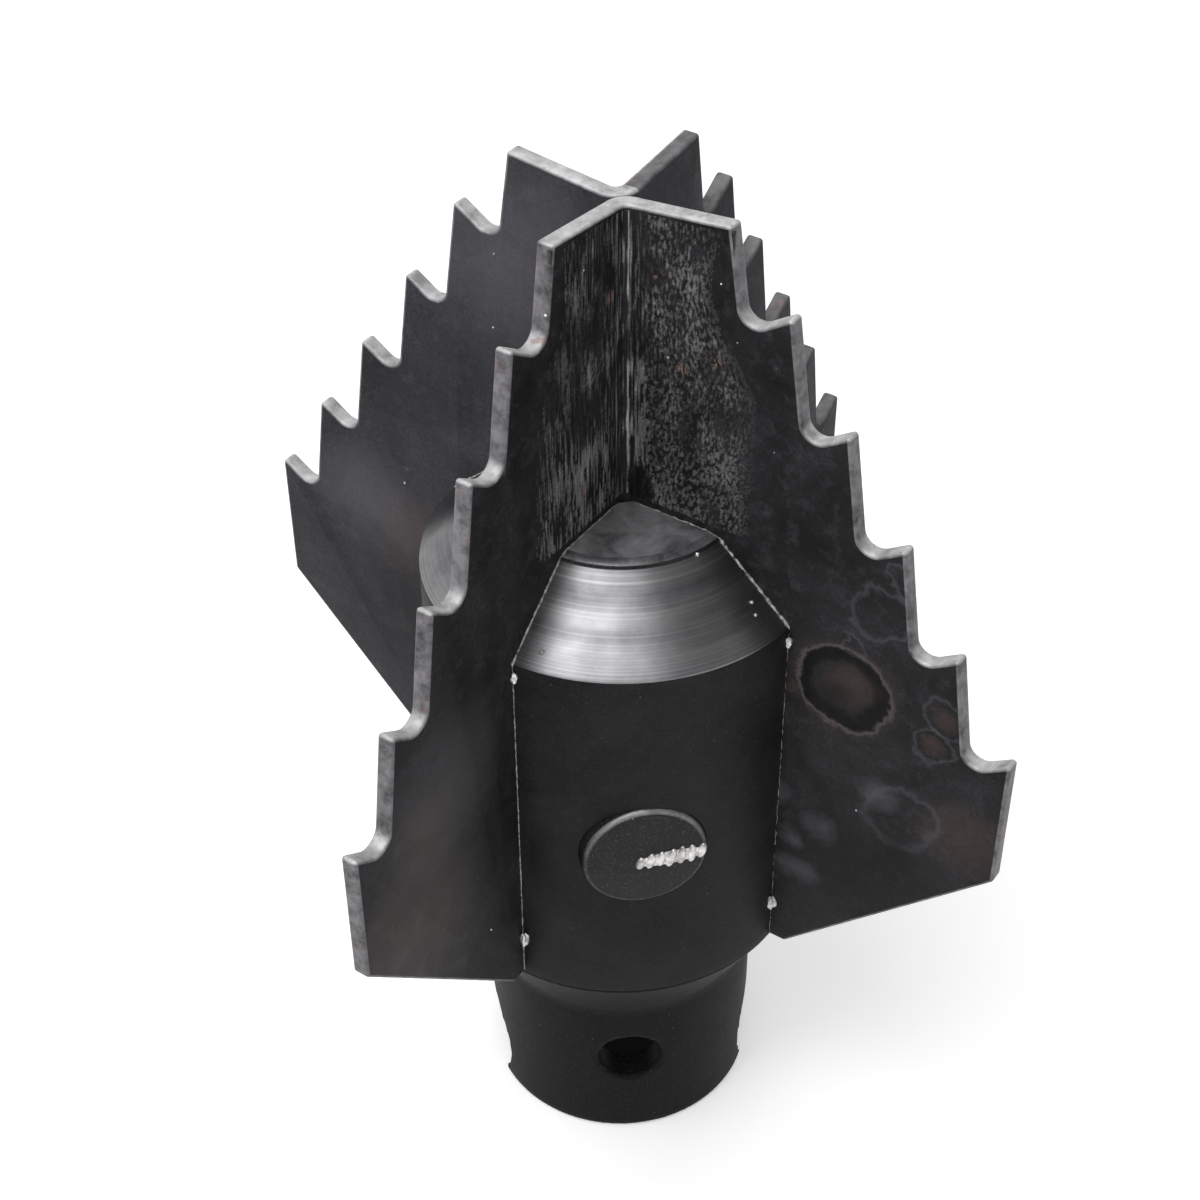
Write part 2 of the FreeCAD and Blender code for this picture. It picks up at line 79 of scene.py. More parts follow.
def newMaterial(name):
    material = bpy.data.materials.new(name)
    material.use_nodes = True
    tree = material.node_tree
    tree.nodes.clear()
    shader = addNode(tree, "BsdfPrincipled")
    addNode(tree, "OutputMaterial", {"Surface": shader})
    place = addNode(tree, "TexCoord").outputs["Object"]
    return material, tree, shader, place


def tintBy(tree, pattern, span, colour, tint):
    # lays a tint over the colour where the pattern runs from low to high, so much at most
    low, high, most = span
    share = addNode(tree, "MapRange", {
        "Value": pattern, "From Min": low, "From Max": high, "To Max": most})
    return addNode(tree, "Mix", {0: share, 6: colour, 7: srgb(tint)}, data_type="RGBA")


def dressSurface(shader, look, colour, patchy=None, raised=None, links=None):
    # even values come from the look, roughness follows one pattern and the bump another
    tree = shader.id_data
    sources = {"Base Color": colour, **(links or {})}
    for name, key in (("Metallic", "metallic"), ("Specular IOR Level", "specular"),
                      ("Roughness", "roughness")):
        if key in look:
            shader.inputs[name].default_value = look[key]
    if patchy is not None:
        low, high, less, more = look["roughSpan"]
        sources["Roughness"] = addNode(tree, "MapRange", {
            "Value": patchy, "From Min": low, "From Max": high,
            "To Min": look["roughness"] - less, "To Max": look["roughness"] + more})
    if raised is not None:
        strength, depth = look["bump"]
        sources["Normal"] = addNode(tree, "Bump", {
            "Height": raised, "Strength": strength, "Distance": depth * mm})
    for name, source in sources.items():
        tree.links.new(shownOutput(source), shader.inputs[name])


def seenDirectly(tree):
    # 1 for the rays that show a surface: to the eye, in gloss and through glass
    rays = addNode(tree, "LightPath").outputs
    seen = addNode(tree, "Math", {
        0: rays["Is Camera Ray"], 1: rays["Is Glossy Ray"]}, operation="MAXIMUM")
    return addNode(tree, "Math", {0: seen, 1: rays["Is Transmission Ray"]}, operation="MAXIMUM")


def deselectAll():
    for thing in bpy.context.selected_objects:
        thing.select_set(False)


def activate(thing):
    deselectAll()
    thing.select_set(True)
    bpy.context.view_layer.objects.active = thing


def applyModifier(piece, kind, **settings):
    activate(piece)
    modifier = piece.modifiers.new("change", kind)
    for name, value in settings.items():
        setattr(modifier, name, value)
    bpy.ops.object.modifier_apply(modifier=modifier.name)


def finishPiece(piece, replaced=(), smoothAngle=32):
    activate(piece)
    bpy.ops.object.shade_smooth_by_angle(angle=math.radians(smoothAngle))
    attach(piece, "root")
    if replaced:
        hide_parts(*replaced)
    deselectAll()


def copyOfNode(node, name):
    # merged copy of a CAD node, with its flat faces whole again
    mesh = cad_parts[node].data.copy()
    mesh.materials.clear()
    shape = bmesh.new()
    shape.from_mesh(mesh)
    bmesh.ops.remove_doubles(shape, verts=shape.verts, dist=mergeWithin * mm)
    bmesh.ops.dissolve_limit(shape, angle_limit=math.radians(flatWithin), verts=shape.verts,
                             edges=shape.edges)
    shape.to_mesh(mesh)
    shape.free()
    piece = bpy.data.objects.new(name, mesh)
    bpy.context.scene.collection.objects.link(piece)
    return piece


def roundChosen(piece, look, chosen, slotIndex=-1):
    # rounds the edges whose two ends, in mm, are both chosen
    activate(piece)
    bpy.ops.object.mode_set(mode="EDIT")
    bpy.ops.mesh.select_mode(type="EDGE")
    bpy.ops.mesh.select_all(action="DESELECT")
    bpy.ops.object.mode_set(mode="OBJECT")
    points = piece.data.vertices
    for edge in piece.data.edges:
        first, second = (points[index].co / mm for index in edge.vertices)
        edge.select = chosen(first) and chosen(second)
    bpy.ops.object.mode_set(mode="EDIT")
    bpy.ops.mesh.bevel(offset=look["round"] * mm, segments=look["segments"], affect="EDGES",
                       clamp_overlap=False, material=slotIndex)
    bpy.ops.object.mode_set(mode="OBJECT")


def turnedSolid(name, outline, steps):
    # closed outline of (reach, height) in mm, spun round the axis
    deselectAll()
    bpy.ops.mesh.primitive_circle_add(vertices=len(outline), radius=1)
    piece = bpy.context.object
    piece.name = name
    for vertex, (reach, height) in zip(piece.data.vertices, outline):
        vertex.co = (reach * mm, 0, height * mm)
    bpy.ops.object.mode_set(mode="EDIT")
    bpy.ops.mesh.select_all(action="SELECT")
    bpy.ops.mesh.spin(steps=steps, angle=math.tau, center=(0, 0, 0), axis=(0, 0, 1))
    bpy.ops.mesh.select_all(action="SELECT")
    bpy.ops.mesh.remove_doubles(threshold=0.001 * mm)
    bpy.ops.mesh.normals_make_consistent(inside=False)
    bpy.ops.object.mode_set(mode="OBJECT")
    return piece


def sliceOff(piece, point, normal):
    # cuts the piece flat and keeps the side that the normal points to
    activate(piece)
    bpy.ops.object.mode_set(mode="EDIT")
    bpy.ops.mesh.select_all(action="SELECT")
    bpy.ops.mesh.bisect(plane_co=point, plane_no=normal, use_fill=True, clear_inner=True,
                        threshold=0.0005 * mm)
    bpy.ops.object.mode_set(mode="OBJECT")


def roundBar(radius, length, vertices=96):
    # bar along Z, from the origin up, not yet in its place
    deselectAll()
    bpy.ops.mesh.primitive_cylinder_add(vertices=vertices, radius=radius * mm, depth=length * mm)
    bar = bpy.context.object
    bar.data.transform(Matrix.Translation((0, 0, length * mm / 2)))
    return bar


def layAlong(piece, direction, start):
    # turns a bar from Z to the direction and puts its foot at the start, in mm
    turned = direction.to_track_quat("Z", "X").to_matrix().to_4x4()
    piece.data.transform(Matrix.Translation(start * mm) @ turned)


def drill(piece, bar):
    applyModifier(piece, "BOOLEAN", operation="DIFFERENCE", solver="EXACT", object=bar)
    bpy.data.objects.remove(bar)


def joinAll(parts, name):
    deselectAll()
    for part in parts:
        part.select_set(True)
    bpy.context.view_layer.objects.active = parts[0]
    bpy.ops.object.join()
    piece = bpy.context.object
    piece.name = name
    return piece


def towards(turn):
    return Vector((math.cos(math.radians(turn)), math.sin(math.radians(turn)), 0))


def levels(low, high, count):
    return [low + (high - low) * index / count for index in range(count + 1)]


def smoothStep(low, high, value):
    share = min(1.0, max(0.0, (value - low) / (high - low)))
    return share * share * (3 - 2 * share)


plateLook = {
    "dark": "#1c1b1c", "light": "#363437", "smudge": "#545257", "fleck": "#8a6d64",
    "grit": "#0f0e0f",
    "blotchSize": 34.0, "mottleSize": 5.5, "grainSize": 0.8, "fleckSize": 2.2,
    # from and to in the noise, and how much of the tint at most
    "cloud": (0.36, 0.68, 1.0), "patches": (0.5, 0.75, 0.6), "grits": (0.35, 0.68, 0.5),
    "rust": (1.36, 1.42, 0.8),
    "waver": 5.0, "sway": 16.0, "metallic": 0.05, "specular": 0.12, "roughness": 0.54,
    # from and to in the noise, and how much less and more; then strength and depth in mm
    "roughSpan": (0.3, 0.7, 0.1, 0.14), "bump": (0.5, 0.1),
    "markedSide": (0, -1, 0), "leastFacing": 0.3,
    # kind, wing, reach and height in mm, radius in mm
    "marks": [
        # painted shade: the large dark patches that reach in to the blocks; the small ones are
        # soot
        ("sootAndShade", 225, 58, 150, 26), ("haze", 225, 108, 140, 38), ("haze", 225, 92, 185, 30),
        ("warm", 225, 107, 146, 30), ("warm", 225, 96, 178, 17),
        ("halo", 315, 74.2, 195.3, 18.6), ("burn", 315, 74.2, 195.3, 15.4),
        ("warm", 315, 76.5, 196.5, 9.5), ("sootAndShade", 315, 72.5, 192.5, 6.0),
        ("tide", 315, 77.5, 212.0, 5.0), ("tide", 315, 84, 225, 11), ("tide", 315, 90, 238, 7),
        ("warm", 315, 57.2, 187.9, 3.2), ("tide", 315, 101.7, 187, 7.5),
        ("warm", 315, 101.7, 187, 4.4), ("tide", 315, 105, 199, 8.5), ("warm", 315, 105, 199, 5),
        ("tide", 315, 96, 157, 15), ("sootAndShade", 315, 88, 130, 30), ("sootAndShade", 315, 98, 142, 6.5),
        ("bloom", 315, 57, 146, 5.5),
        ("bloom", 315, 59, 118, 6), ("bloom", 315, 66, 118.5, 6.5), ("bloom", 315, 72, 139, 7),
        ("bloom", 315, 61, 131, 5), ("warm", 315, 116, 158, 15), ("bloom", 315, 88, 162, 8),
    ],
}
rearPlateLook = dict(plateLook, dark="#302f33", light="#4a484e", smudge="#5c5a61", marks=[
    ("haze", 135, 34, 294, 42), ("bloom", 135, 92, 190, 24),
    # painted shade: the large dark patches that reach in to the blocks
    ("sootAndShade", 135, 74, 150, 34), ("warm", 135, 70, 180, 22), ("sootAndShade", 45, 80, 200, 30),
    ("tide", 45, 92, 180, 13)])
# tint of each kind of mark, and how much of it at each share of the radius
markKinds = {
    "burn": ("#0c0a0b", [(0.0, "#202020"), (0.55, "#404040"), (0.66, "#f4f4f4"),
                         (0.88, "#ffffff"), (0.95, "#000000")]),
    "halo": ("#8b807d", [(0.0, "#000000"), (0.74, "#000000"), (0.80, "#a8a8a8"),
                         (0.86, "#404040"), (1.0, "#000000")]),
    "tide": ("#6a696f", [(0.0, "#080808"), (0.66, "#181818"), (0.80, "#a0a0a0"),
                         (0.88, "#404040"), (1.0, "#000000")]),
    "bloom": ("#7f8188", [(0.0, "#a6a6a6"), (0.5, "#7c7c7c"), (1.0, "#000000")]),
    # dark patches: soot where small, painted shade where they lie beside the blocks
    "sootAndShade": ("#100f10", [(0.0, "#d0d0d0"), (0.5, "#b0b0b0"), (1.0, "#000000")]),
    "warm": ("#836b64", [(0.0, "#7c7c7c"), (0.6, "#606060"), (1.0, "#000000")]),
    "haze": ("#8b898d", [(0.0, "#888888"), (0.5, "#707070"), (1.0, "#000000")]),
}
wingOffset = {"open": 2.95, "back": 2.05}     # a wing's faces beside its middle plane, in mm


def plateMaterial(name, look):
    # hot-rolled plate under mill scale: blue-black oxide, cloudy, rubbed grey in places, with
    # water marks, weld heat, a few pinkish rust flecks and painted shade beside the blocks
    material, tree, shader, place = newMaterial(name)
    blotch = addNode(tree, "TexNoise", {
        "Vector": place, "Scale": 1000 / look["blotchSize"], "Detail": 5.0, "Roughness": 0.62,
        "Distortion": 0.7})
    mottle = addNode(tree, "TexNoise", {
        "Vector": place, "Scale": 1000 / look["mottleSize"], "Detail": 5.0, "Roughness": 0.68})
    grain = addNode(tree, "TexNoise", {
        "Vector": place, "Scale": 1000 / look["grainSize"], "Detail": 3.0, "Roughness": 0.6})
    colour = srgb(look["dark"])
    for pattern, span, tint in ((blotch, "cloud", "light"), (mottle, "patches", "smudge"),
                                (grain, "grits", "grit")):
        colour = tintBy(tree, pattern, look[span], colour, look[tint])

    # marks lie on the faces towards the front, with ragged outlines
    facing = addNode(tree, "VectorMath", {
        0: addNode(tree, "NewGeometry").outputs["Normal"], 1: look["markedSide"]},
        operation="DOT_PRODUCT")
    marked = addNode(tree, "Math", {0: facing, 1: look["leastFacing"]}, operation="GREATER_THAN")
    waver, sway = look["waver"] * mm, look["sway"] * mm
    ragged = addNode(tree, "VectorMath", {
        0: mottle.outputs["Color"], 1: (waver, waver, waver), 2: place},
        operation="MULTIPLY_ADD")
    ragged = addNode(tree, "VectorMath", {
        0: blotch.outputs["Color"], 1: (sway, sway, sway), 2: ragged}, operation="MULTIPLY_ADD")
    for kind, turn, reach, height, radius in look["marks"]:
        sideways = wingOffset["open"] if turn in (225, 45) else -wingOffset["open"]
        centre = towards(turn) * reach + towards(turn + 90) * sideways + Vector((0, 0, height))
        centre = centre * mm + Vector((1, 1, 1)) * (waver + sway) / 2
        away = addNode(tree, "VectorMath", {0: ragged, 1: tuple(centre)}, operation="DISTANCE")
        share = addNode(tree, "Math", {0: away, 1: radius * mm}, operation="DIVIDE")
        tint, stops = markKinds[kind]
        mask = addNode(tree, "ValToRGB", {"Fac": share}, stops=stops)
        mask = addNode(tree, "Math", {0: mask, 1: marked}, operation="MULTIPLY")
        colour = addNode(tree, "Mix", {0: mask, 6: colour, 7: srgb(tint)}, data_type="RGBA")

    rust = addNode(tree, "TexNoise", {
        "Vector": place, "Scale": 1000 / look["fleckSize"], "Detail": 2.0})
    rustArea = addNode(tree, "Math", {0: rust, 1: mottle}, operation="ADD")
    colour = tintBy(tree, rustArea, look["rust"], colour, look["fleck"])
    dressSurface(shader, look, colour, mottle, grain)
    return material


cutEdgeLook = {
    # topDark and topLight are a painted highlight on the faces that look up
    "dark": "#444245", "light": "#8b898c", "topDark": "#8f8e90", "topLight": "#cbcacb",
    "rust": "#8a6e66", "lineSize": 0.8, "patchSize": 5.0, "rustSize": 3.846,
    "upward": (0.15, 0.75),                  # how far up a face looks, from dull to the painted highlight
    "rustSpan": (0.64, 0.7, 0.6), "roughSpan": (0, 1, 0.1, 0.2), "bump": (0.6, 0.15),
    "metallic": 0.3, "specular": 0.35, "roughness": 0.46}
cutLooks = {
    "cutEdge": cutEdgeLook,                  # painted highlight: paler grey on the upper side
    # painted shade: a darker copy of the cut edge, for the wing towards +X +Y
    "shadedCutEdge": dict(cutEdgeLook, dark="#2b2a2c", light="#5a585b", topDark="#4a494b",
                        topLight="#7a787a", metallic=0.2, specular=0.3, roughness=0.5),
}


def cutEdgeMaterial(name):
    # flame-cut edge: dull grey slag skin with drag lines, a painted highlight of paler grey where
    # it faces up, and a little rust in the roots of the teeth
    look = cutLooks[name]
    material, tree, shader, place = newMaterial(name)
    patch = addNode(tree, "TexNoise", {
        "Vector": place, "Scale": 1000 / look["patchSize"], "Detail": 5.0, "Roughness": 0.65})
    lines = addNode(tree, "TexNoise", {
        "Vector": place, "Scale": 1000 / look["lineSize"], "Detail": 3.0})
    low = addNode(tree, "ValToRGB", {"Fac": patch}, stops=[
        (0.34, look["dark"]), (0.62, look["light"])])
    high = addNode(tree, "ValToRGB", {"Fac": patch}, stops=[
        (0.32, look["topDark"]), (0.66, look["topLight"])])
    facing = addNode(tree, "SeparateXYZ", {
        "Vector": addNode(tree, "NewGeometry").outputs["Normal"]})
    # painted highlight: the colour turns paler where the face looks up
    upward = addNode(tree, "MapRange", {
        "Value": facing.outputs["Z"], "From Min": look["upward"][0],
        "From Max": look["upward"][1]}, interpolation_type="SMOOTHSTEP")
    colour = addNode(tree, "Mix", {0: upward, 6: low, 7: high}, data_type="RGBA")
    rusty = addNode(tree, "TexNoise", {
        "Vector": place, "Scale": 1000 / look["rustSize"], "Detail": 3.0})
    colour = tintBy(tree, rusty, look["rustSpan"], colour, look["rust"])
    dressSurface(shader, look, colour, patch, lines)
    return material


turnedLook = {
    "colour": "#a3a3a5", "shade": "#76767a", "line": "#cfcecc", "pitch": 0.7, "bandSize": 6.5,
    "stainSize": 14.286, "bands": (0.8, 1.25, 1.0), "rings": (0.5, 0.7, 0.55),
    "metallic": 1.0, "roughness": 0.39, "roughSpan": (0, 1, 0.06, 0.1), "bump": (0.5, 0.05),
    "anisotropy": 0.72}


def turnedMaterial():
    # bare steel off the lathe: fine rings round the cone, drawn out coarse enough to show, which
    # spread each lamp into a streak up the slope
    look = turnedLook
    material, tree, shader, place = newMaterial("turnedSteel")
    parts = addNode(tree, "SeparateXYZ", {"Vector": place})
    height = addNode(tree, "CombineXYZ", {"X": 0.0, "Y": 0.0, "Z": parts.outputs["Z"]})
    rings = addNode(tree, "TexNoise", {
        "Vector": height, "Scale": 1000 / look["pitch"], "Detail": 2.0})
    bands = addNode(tree, "TexNoise", {
        "Vector": height, "Scale": 1000 / look["bandSize"], "Detail": 2.0})
    stain = addNode(tree, "TexNoise", {
        "Vector": place, "Scale": 1000 / look["stainSize"], "Detail": 6.0, "Roughness": 0.6})
    mixed = addNode(tree, "Math", {0: bands, 1: stain}, operation="ADD")
    colour = tintBy(tree, mixed, look["bands"], srgb(look["colour"]), look["shade"])
    colour = tintBy(tree, rings, look["rings"], colour, look["line"])
    shader.inputs["Anisotropic"].default_value = look["anisotropy"]
    shader.inputs["Anisotropic Rotation"].default_value = 0.25   # streaks stand across the rings
    along = addNode(tree, "VectorMath", {0: (0, 0, 1), 1: place}, operation="CROSS_PRODUCT")
    dressSurface(shader, look, colour, stain, rings, {"Tangent": along})
    return material


barLooks = {
    # black bar stock: a thin even oxide, nearly matt
    "blockBar": {"dark": "#1a1a1b", "light": "#323234", "fleck": "#5d5a59", "size": 22.0,
                 "metallic": 0.05, "specular": 0.11, "roughness": 0.55},
    # faced top of a block: turned, then smoked by the welding above it
    "blockTop": {"dark": "#5a595c", "light": "#9a999c", "fleck": "#b5b2b0", "size": 9.0,
                 "metallic": 0.5, "specular": 0.4, "roughness": 0.42},
    # narrow turned ring round that top, half bright
    "ringBand": {"dark": "#58575a", "light": "#8d8c8f", "fleck": "#b5b2b0", "size": 7.0,
                 "metallic": 0.8, "specular": 0.5, "roughness": 0.38},
    # sawn bar end, oxidised like the block round it
    "plugEnd": {"dark": "#1c1b1c", "light": "#302e2f", "fleck": "#8b8583", "size": 9.0,
                "metallic": 0.1, "specular": 0.2, "roughness": 0.5},
    # forged socket: dense black scale with a soft sheen
    "socketScale": {"dark": "#110f11", "light": "#1e1c1e", "fleck": "#5f5a58", "size": 15.0,
                    "metallic": 0.05, "specular": 0.09, "roughness": 0.52},
    # painted highlight: the plug's rim pale grey where it faces up, darker where it faces down
    "paintedRimHighlight": {"dark": "#2a292a", "light": "#a8a6a8", "fleck": "#c9c6c4", "size": 4.0,
                   "metallic": 0.5, "specular": 0.4, "roughness": 0.42, "upward": (0.0, 0.55)},
}
# the same on every bar
barGrain = {"grainSize": 0.8, "dustSize": 1.923, "cloud": (0.35, 0.7),
            "speckle": (0.55, 0.75, 0.22), "specks": (0.76, 0.8, 0.6),
            "roughSpan": (0, 1, 0.12, 0.16), "bump": (0.4, 0.08)}


def barMaterial(name):
    look = {**barGrain, **barLooks[name]}
    material, tree, shader, place = newMaterial(name)
    cloud = addNode(tree, "TexNoise", {
        "Vector": place, "Scale": 1000 / look["size"], "Detail": 6.0, "Roughness": 0.62,
        "Distortion": 0.4})
    grain = addNode(tree, "TexNoise", {
        "Vector": place, "Scale": 1000 / look["grainSize"], "Detail": 3.0})
    dust = addNode(tree, "TexNoise", {
        "Vector": place, "Scale": 1000 / look["dustSize"], "Detail": 1.0})
    shade = addNode(tree, "MapRange", {
        "Value": cloud, "From Min": look["cloud"][0], "From Max": look["cloud"][1]})
    if "upward" in look:                       # painted highlight, only where a face looks up
        facing = addNode(tree, "SeparateXYZ", {
            "Vector": addNode(tree, "NewGeometry").outputs["Normal"]})
        highlightShare = addNode(tree, "MapRange", {
            "Value": facing.outputs["Z"], "From Min": look["upward"][0],
            "From Max": look["upward"][1]})
        brightened = addNode(tree, "Math", {0: shade, 1: 0.5, 2: 0.5}, operation="MULTIPLY_ADD")
        shade = addNode(tree, "Math", {0: highlightShare, 1: brightened}, operation="MULTIPLY")
    colour = addNode(tree, "Mix", {
        0: shade, 6: srgb(look["dark"]), 7: srgb(look["light"])}, data_type="RGBA")
    colour = tintBy(tree, grain, look["speckle"], colour, look["fleck"])
    colour = tintBy(tree, dust, look["specks"], colour, look["fleck"])
    dressSurface(shader, look, colour, cloud, grain)
    return material


weldLooks = {
    # fresh tack: bright, a little burnt between its ripples
    "weldMetal": {"dark": "#9c9998", "light": "#efecea", "size": 3.0, "metallic": 0.6,
                  "roughness": 0.36},
    # bead between the two bends: smoked, with a dull shine on its ripples
    "spineBead": {"dark": "#201f20", "light": "#6a6766", "size": 3.0, "metallic": 0.3,
                  "roughness": 0.45},
    # burr and seam line: thin metal dulled by smoke
    "seamMetal": {"dark": "#4a4848", "light": "#b9b6b4", "size": 1.6, "metallic": 0.4,
                  "roughness": 0.42},
}
weldRelief = {"bump": (0.5, 0.15)}        # strength and depth in mm, on every weld


def weldMaterial(name):
    look = {**weldRelief, **weldLooks[name]}
    material, tree, shader, place = newMaterial(name)
    patch = addNode(tree, "TexNoise", {
        "Vector": place, "Scale": 1000 / look["size"], "Detail": 4.0, "Roughness": 0.6})
    colour = addNode(tree, "ValToRGB", {"Fac": patch}, stops=[
        (0.35, look["dark"]), (0.58, look["light"])])
    dressSurface(shader, look, colour, raised=patch)
    return material


drawnLook = {"low": "#151415", "middle": "#3e3c3e", "high": "#b5b2b1", "rust": "#b08a7e",
             "fineSize": 2 / 3, "jitter": 0.36, "bump": (0.4, 0.08),
             "metallic": 0.3, "specular": 0.4, "roughness": 0.44}


def drawnScaleMaterial():
    # mill scale stretched and cracked by the bending: dark valleys, rubbed grey crests; the
    # tone of each spot is the piece's own attribute, so it follows the relief
    look = drawnLook
    material, tree, shader, place = newMaterial("drawnScale")
    tone = addNode(tree, "SeparateColor", {
        "Color": addNode(tree, "Attribute", attribute_name="scaleTone")})
    fine = addNode(tree, "TexNoise", {
        "Vector": place, "Scale": 1000 / look["fineSize"], "Detail": 4.0, "Roughness": 0.75})
    jitter = addNode(tree, "MapRange", {
        "Value": fine, "To Min": -look["jitter"], "To Max": look["jitter"]})
    level = addNode(tree, "Math", {0: tone.outputs["Red"], 1: jitter}, operation="ADD")
    colour = addNode(tree, "ValToRGB", {"Fac": level}, stops=[
        (0.18, look["low"]), (0.52, look["middle"]), (0.95, look["high"])])
    rusted = addNode(tree, "Mix", {
        0: tone.outputs["Green"], 6: colour, 7: srgb(look["rust"])}, data_type="RGBA")
    dressSurface(shader, look, rusted, raised=fine)
    return material


millScale = plateMaterial("millScale", plateLook)
rearMillScale = plateMaterial("rearMillScale", rearPlateLook)
cutEdge, shadedCutEdge = (cutEdgeMaterial(name) for name in cutLooks)
turnedSteel = turnedMaterial()
blockBar, blockTop, ringBand, plugEnd, socketScale, paintedRimHighlight = (
    barMaterial(name) for name in barLooks)
weldMetal, spineBead, seamMetal = (weldMaterial(name) for name in weldLooks)
drawnScale = drawnScaleMaterial()
print("materials made")


plateEdges = {"round": 0.9, "segments": 3, "sharpest": 35, "bendZone": 9.0, "darkFrom": 12.0}


def wingPlate(node, name, faceMaterial):
    piece = copyOfNode(node, name)
    for material in (faceMaterial, cutEdge, shadedCutEdge):
        piece.data.materials.append(material)
    for face in piece.data.polygons:
        outward = Vector((face.center.x, face.center.y, 0))
        isTop = face.normal.z > 0.4
        isUnder = face.normal.z < -0.4
        isEnd = outward.length > plateEdges["bendZone"] * mm and (
            abs(face.normal.dot(outward.normalized())) > 0.6)
        face.material_index = 1 if isTop or isUnder or isEnd else 0
    applyModifier(piece, "BEVEL", width=plateEdges["round"] * mm,
                  segments=plateEdges["segments"], limit_method="ANGLE",
                  angle_limit=math.radians(plateEdges["sharpest"]), use_clamp_overlap=False,
                  material=1)
    for face in piece.data.polygons:                    # painted shade: the wing towards +X +Y takes the darker copy of the cut edge
        inward = min(face.center.x, face.center.y)
        if face.material_index == 1 and inward > plateEdges["darkFrom"] * mm:
            face.material_index = 2
    finishPiece(piece, (node,))


wingPlate("front_wing_plate", "frontWing", millScale)
wingPlate("rear_wing_plate", "rearWing", rearMillScale)

scaleLook = {
    # how far the torn scale reaches from the bend, wider below a height, all in mm
    "reach": 31.5, "lowReach": 46.0, "widenBelow": 300.0, "low": 230.6, "top": 319.9,
    "widening": 0.6, "topRise": 3 / 34, "stepAcross": 0.3, "stepUp": 0.56,
    "bend": 2.0, "lift": 0.06, "relief": 0.22, "sunk": 0.2, "thick": 0.9,
    # layers of noise: width and length of a tear in mm, weight, and what is added to the seed
    "streaks": ((0.62, 15.0, 1.0, 0), (0.36, 6.0, 1.0, 5)),
    "flakes": ((0.8, 1.9, 1.0, 9), (0.42, 0.95, 0.8, 13)),
    "patches": ((8.0, 13.0, 1.0, 21),),
    "streaksOnly": (3.0, 10.0), "firstWingStreaks": 0.75,   # mm from the bend, and a share
    # rim: span of the share across, how ragged by patches and flakes, then the same for the
    # top, the foot and the two sides
    "rimSpan": (1.0, 0.62), "ragged": (0.18, 0.12), "rimEnds": (0.985, 0.03), "rimSides": 0.84,
    "tone": 0.5, "streakTone": 0.4, "flakeTone": 0.25, "patchTone": 0.28, "rimTone": 0.36,
    "hazeHeights": (238, 276), "hazeAcross": (1.5, 5), "firstHaze": 0.12, "secondHaze": 0.6,
    "sootAndShade": (5.0, 235.5, 4.2, 7.5),                     # painted shade with soot at the foot of the crease above the block tops: across, height, and half sizes, mm
    # lines along the bend: across, half width in mm, and how much lighter or darker
    # the first two lines are painted shade in the crease and a painted highlight along its edge
    "lines": [(0.0, 0.35, -0.6), (0.95, 0.18, 0.5), (-1.3, 0.25, -0.3), (-2.4, 0.2, -0.3),
              (-3.3, 0.22, 0.2), (-4.4, 0.3, -0.3), (-6.2, 0.25, -0.25), (2.6, 0.25, -0.2)],
    # rust: across, height and size in mm
    "flecks": [(-6.0, 297, 1.6), (-7.2, 290, 1.2), (17.5, 278, 1.9), (28, 284, 1.6),
               (-14, 262, 1.2), (9, 303, 0.9), (-19, 244, 1.3), (-23, 256, 1.1)],
}


def layered(across, height, seed, layers):
    return sum(weight * noise.noise(Vector((across / wide, height / tall, seed + shift)))
               for wide, tall, weight, shift in layers)


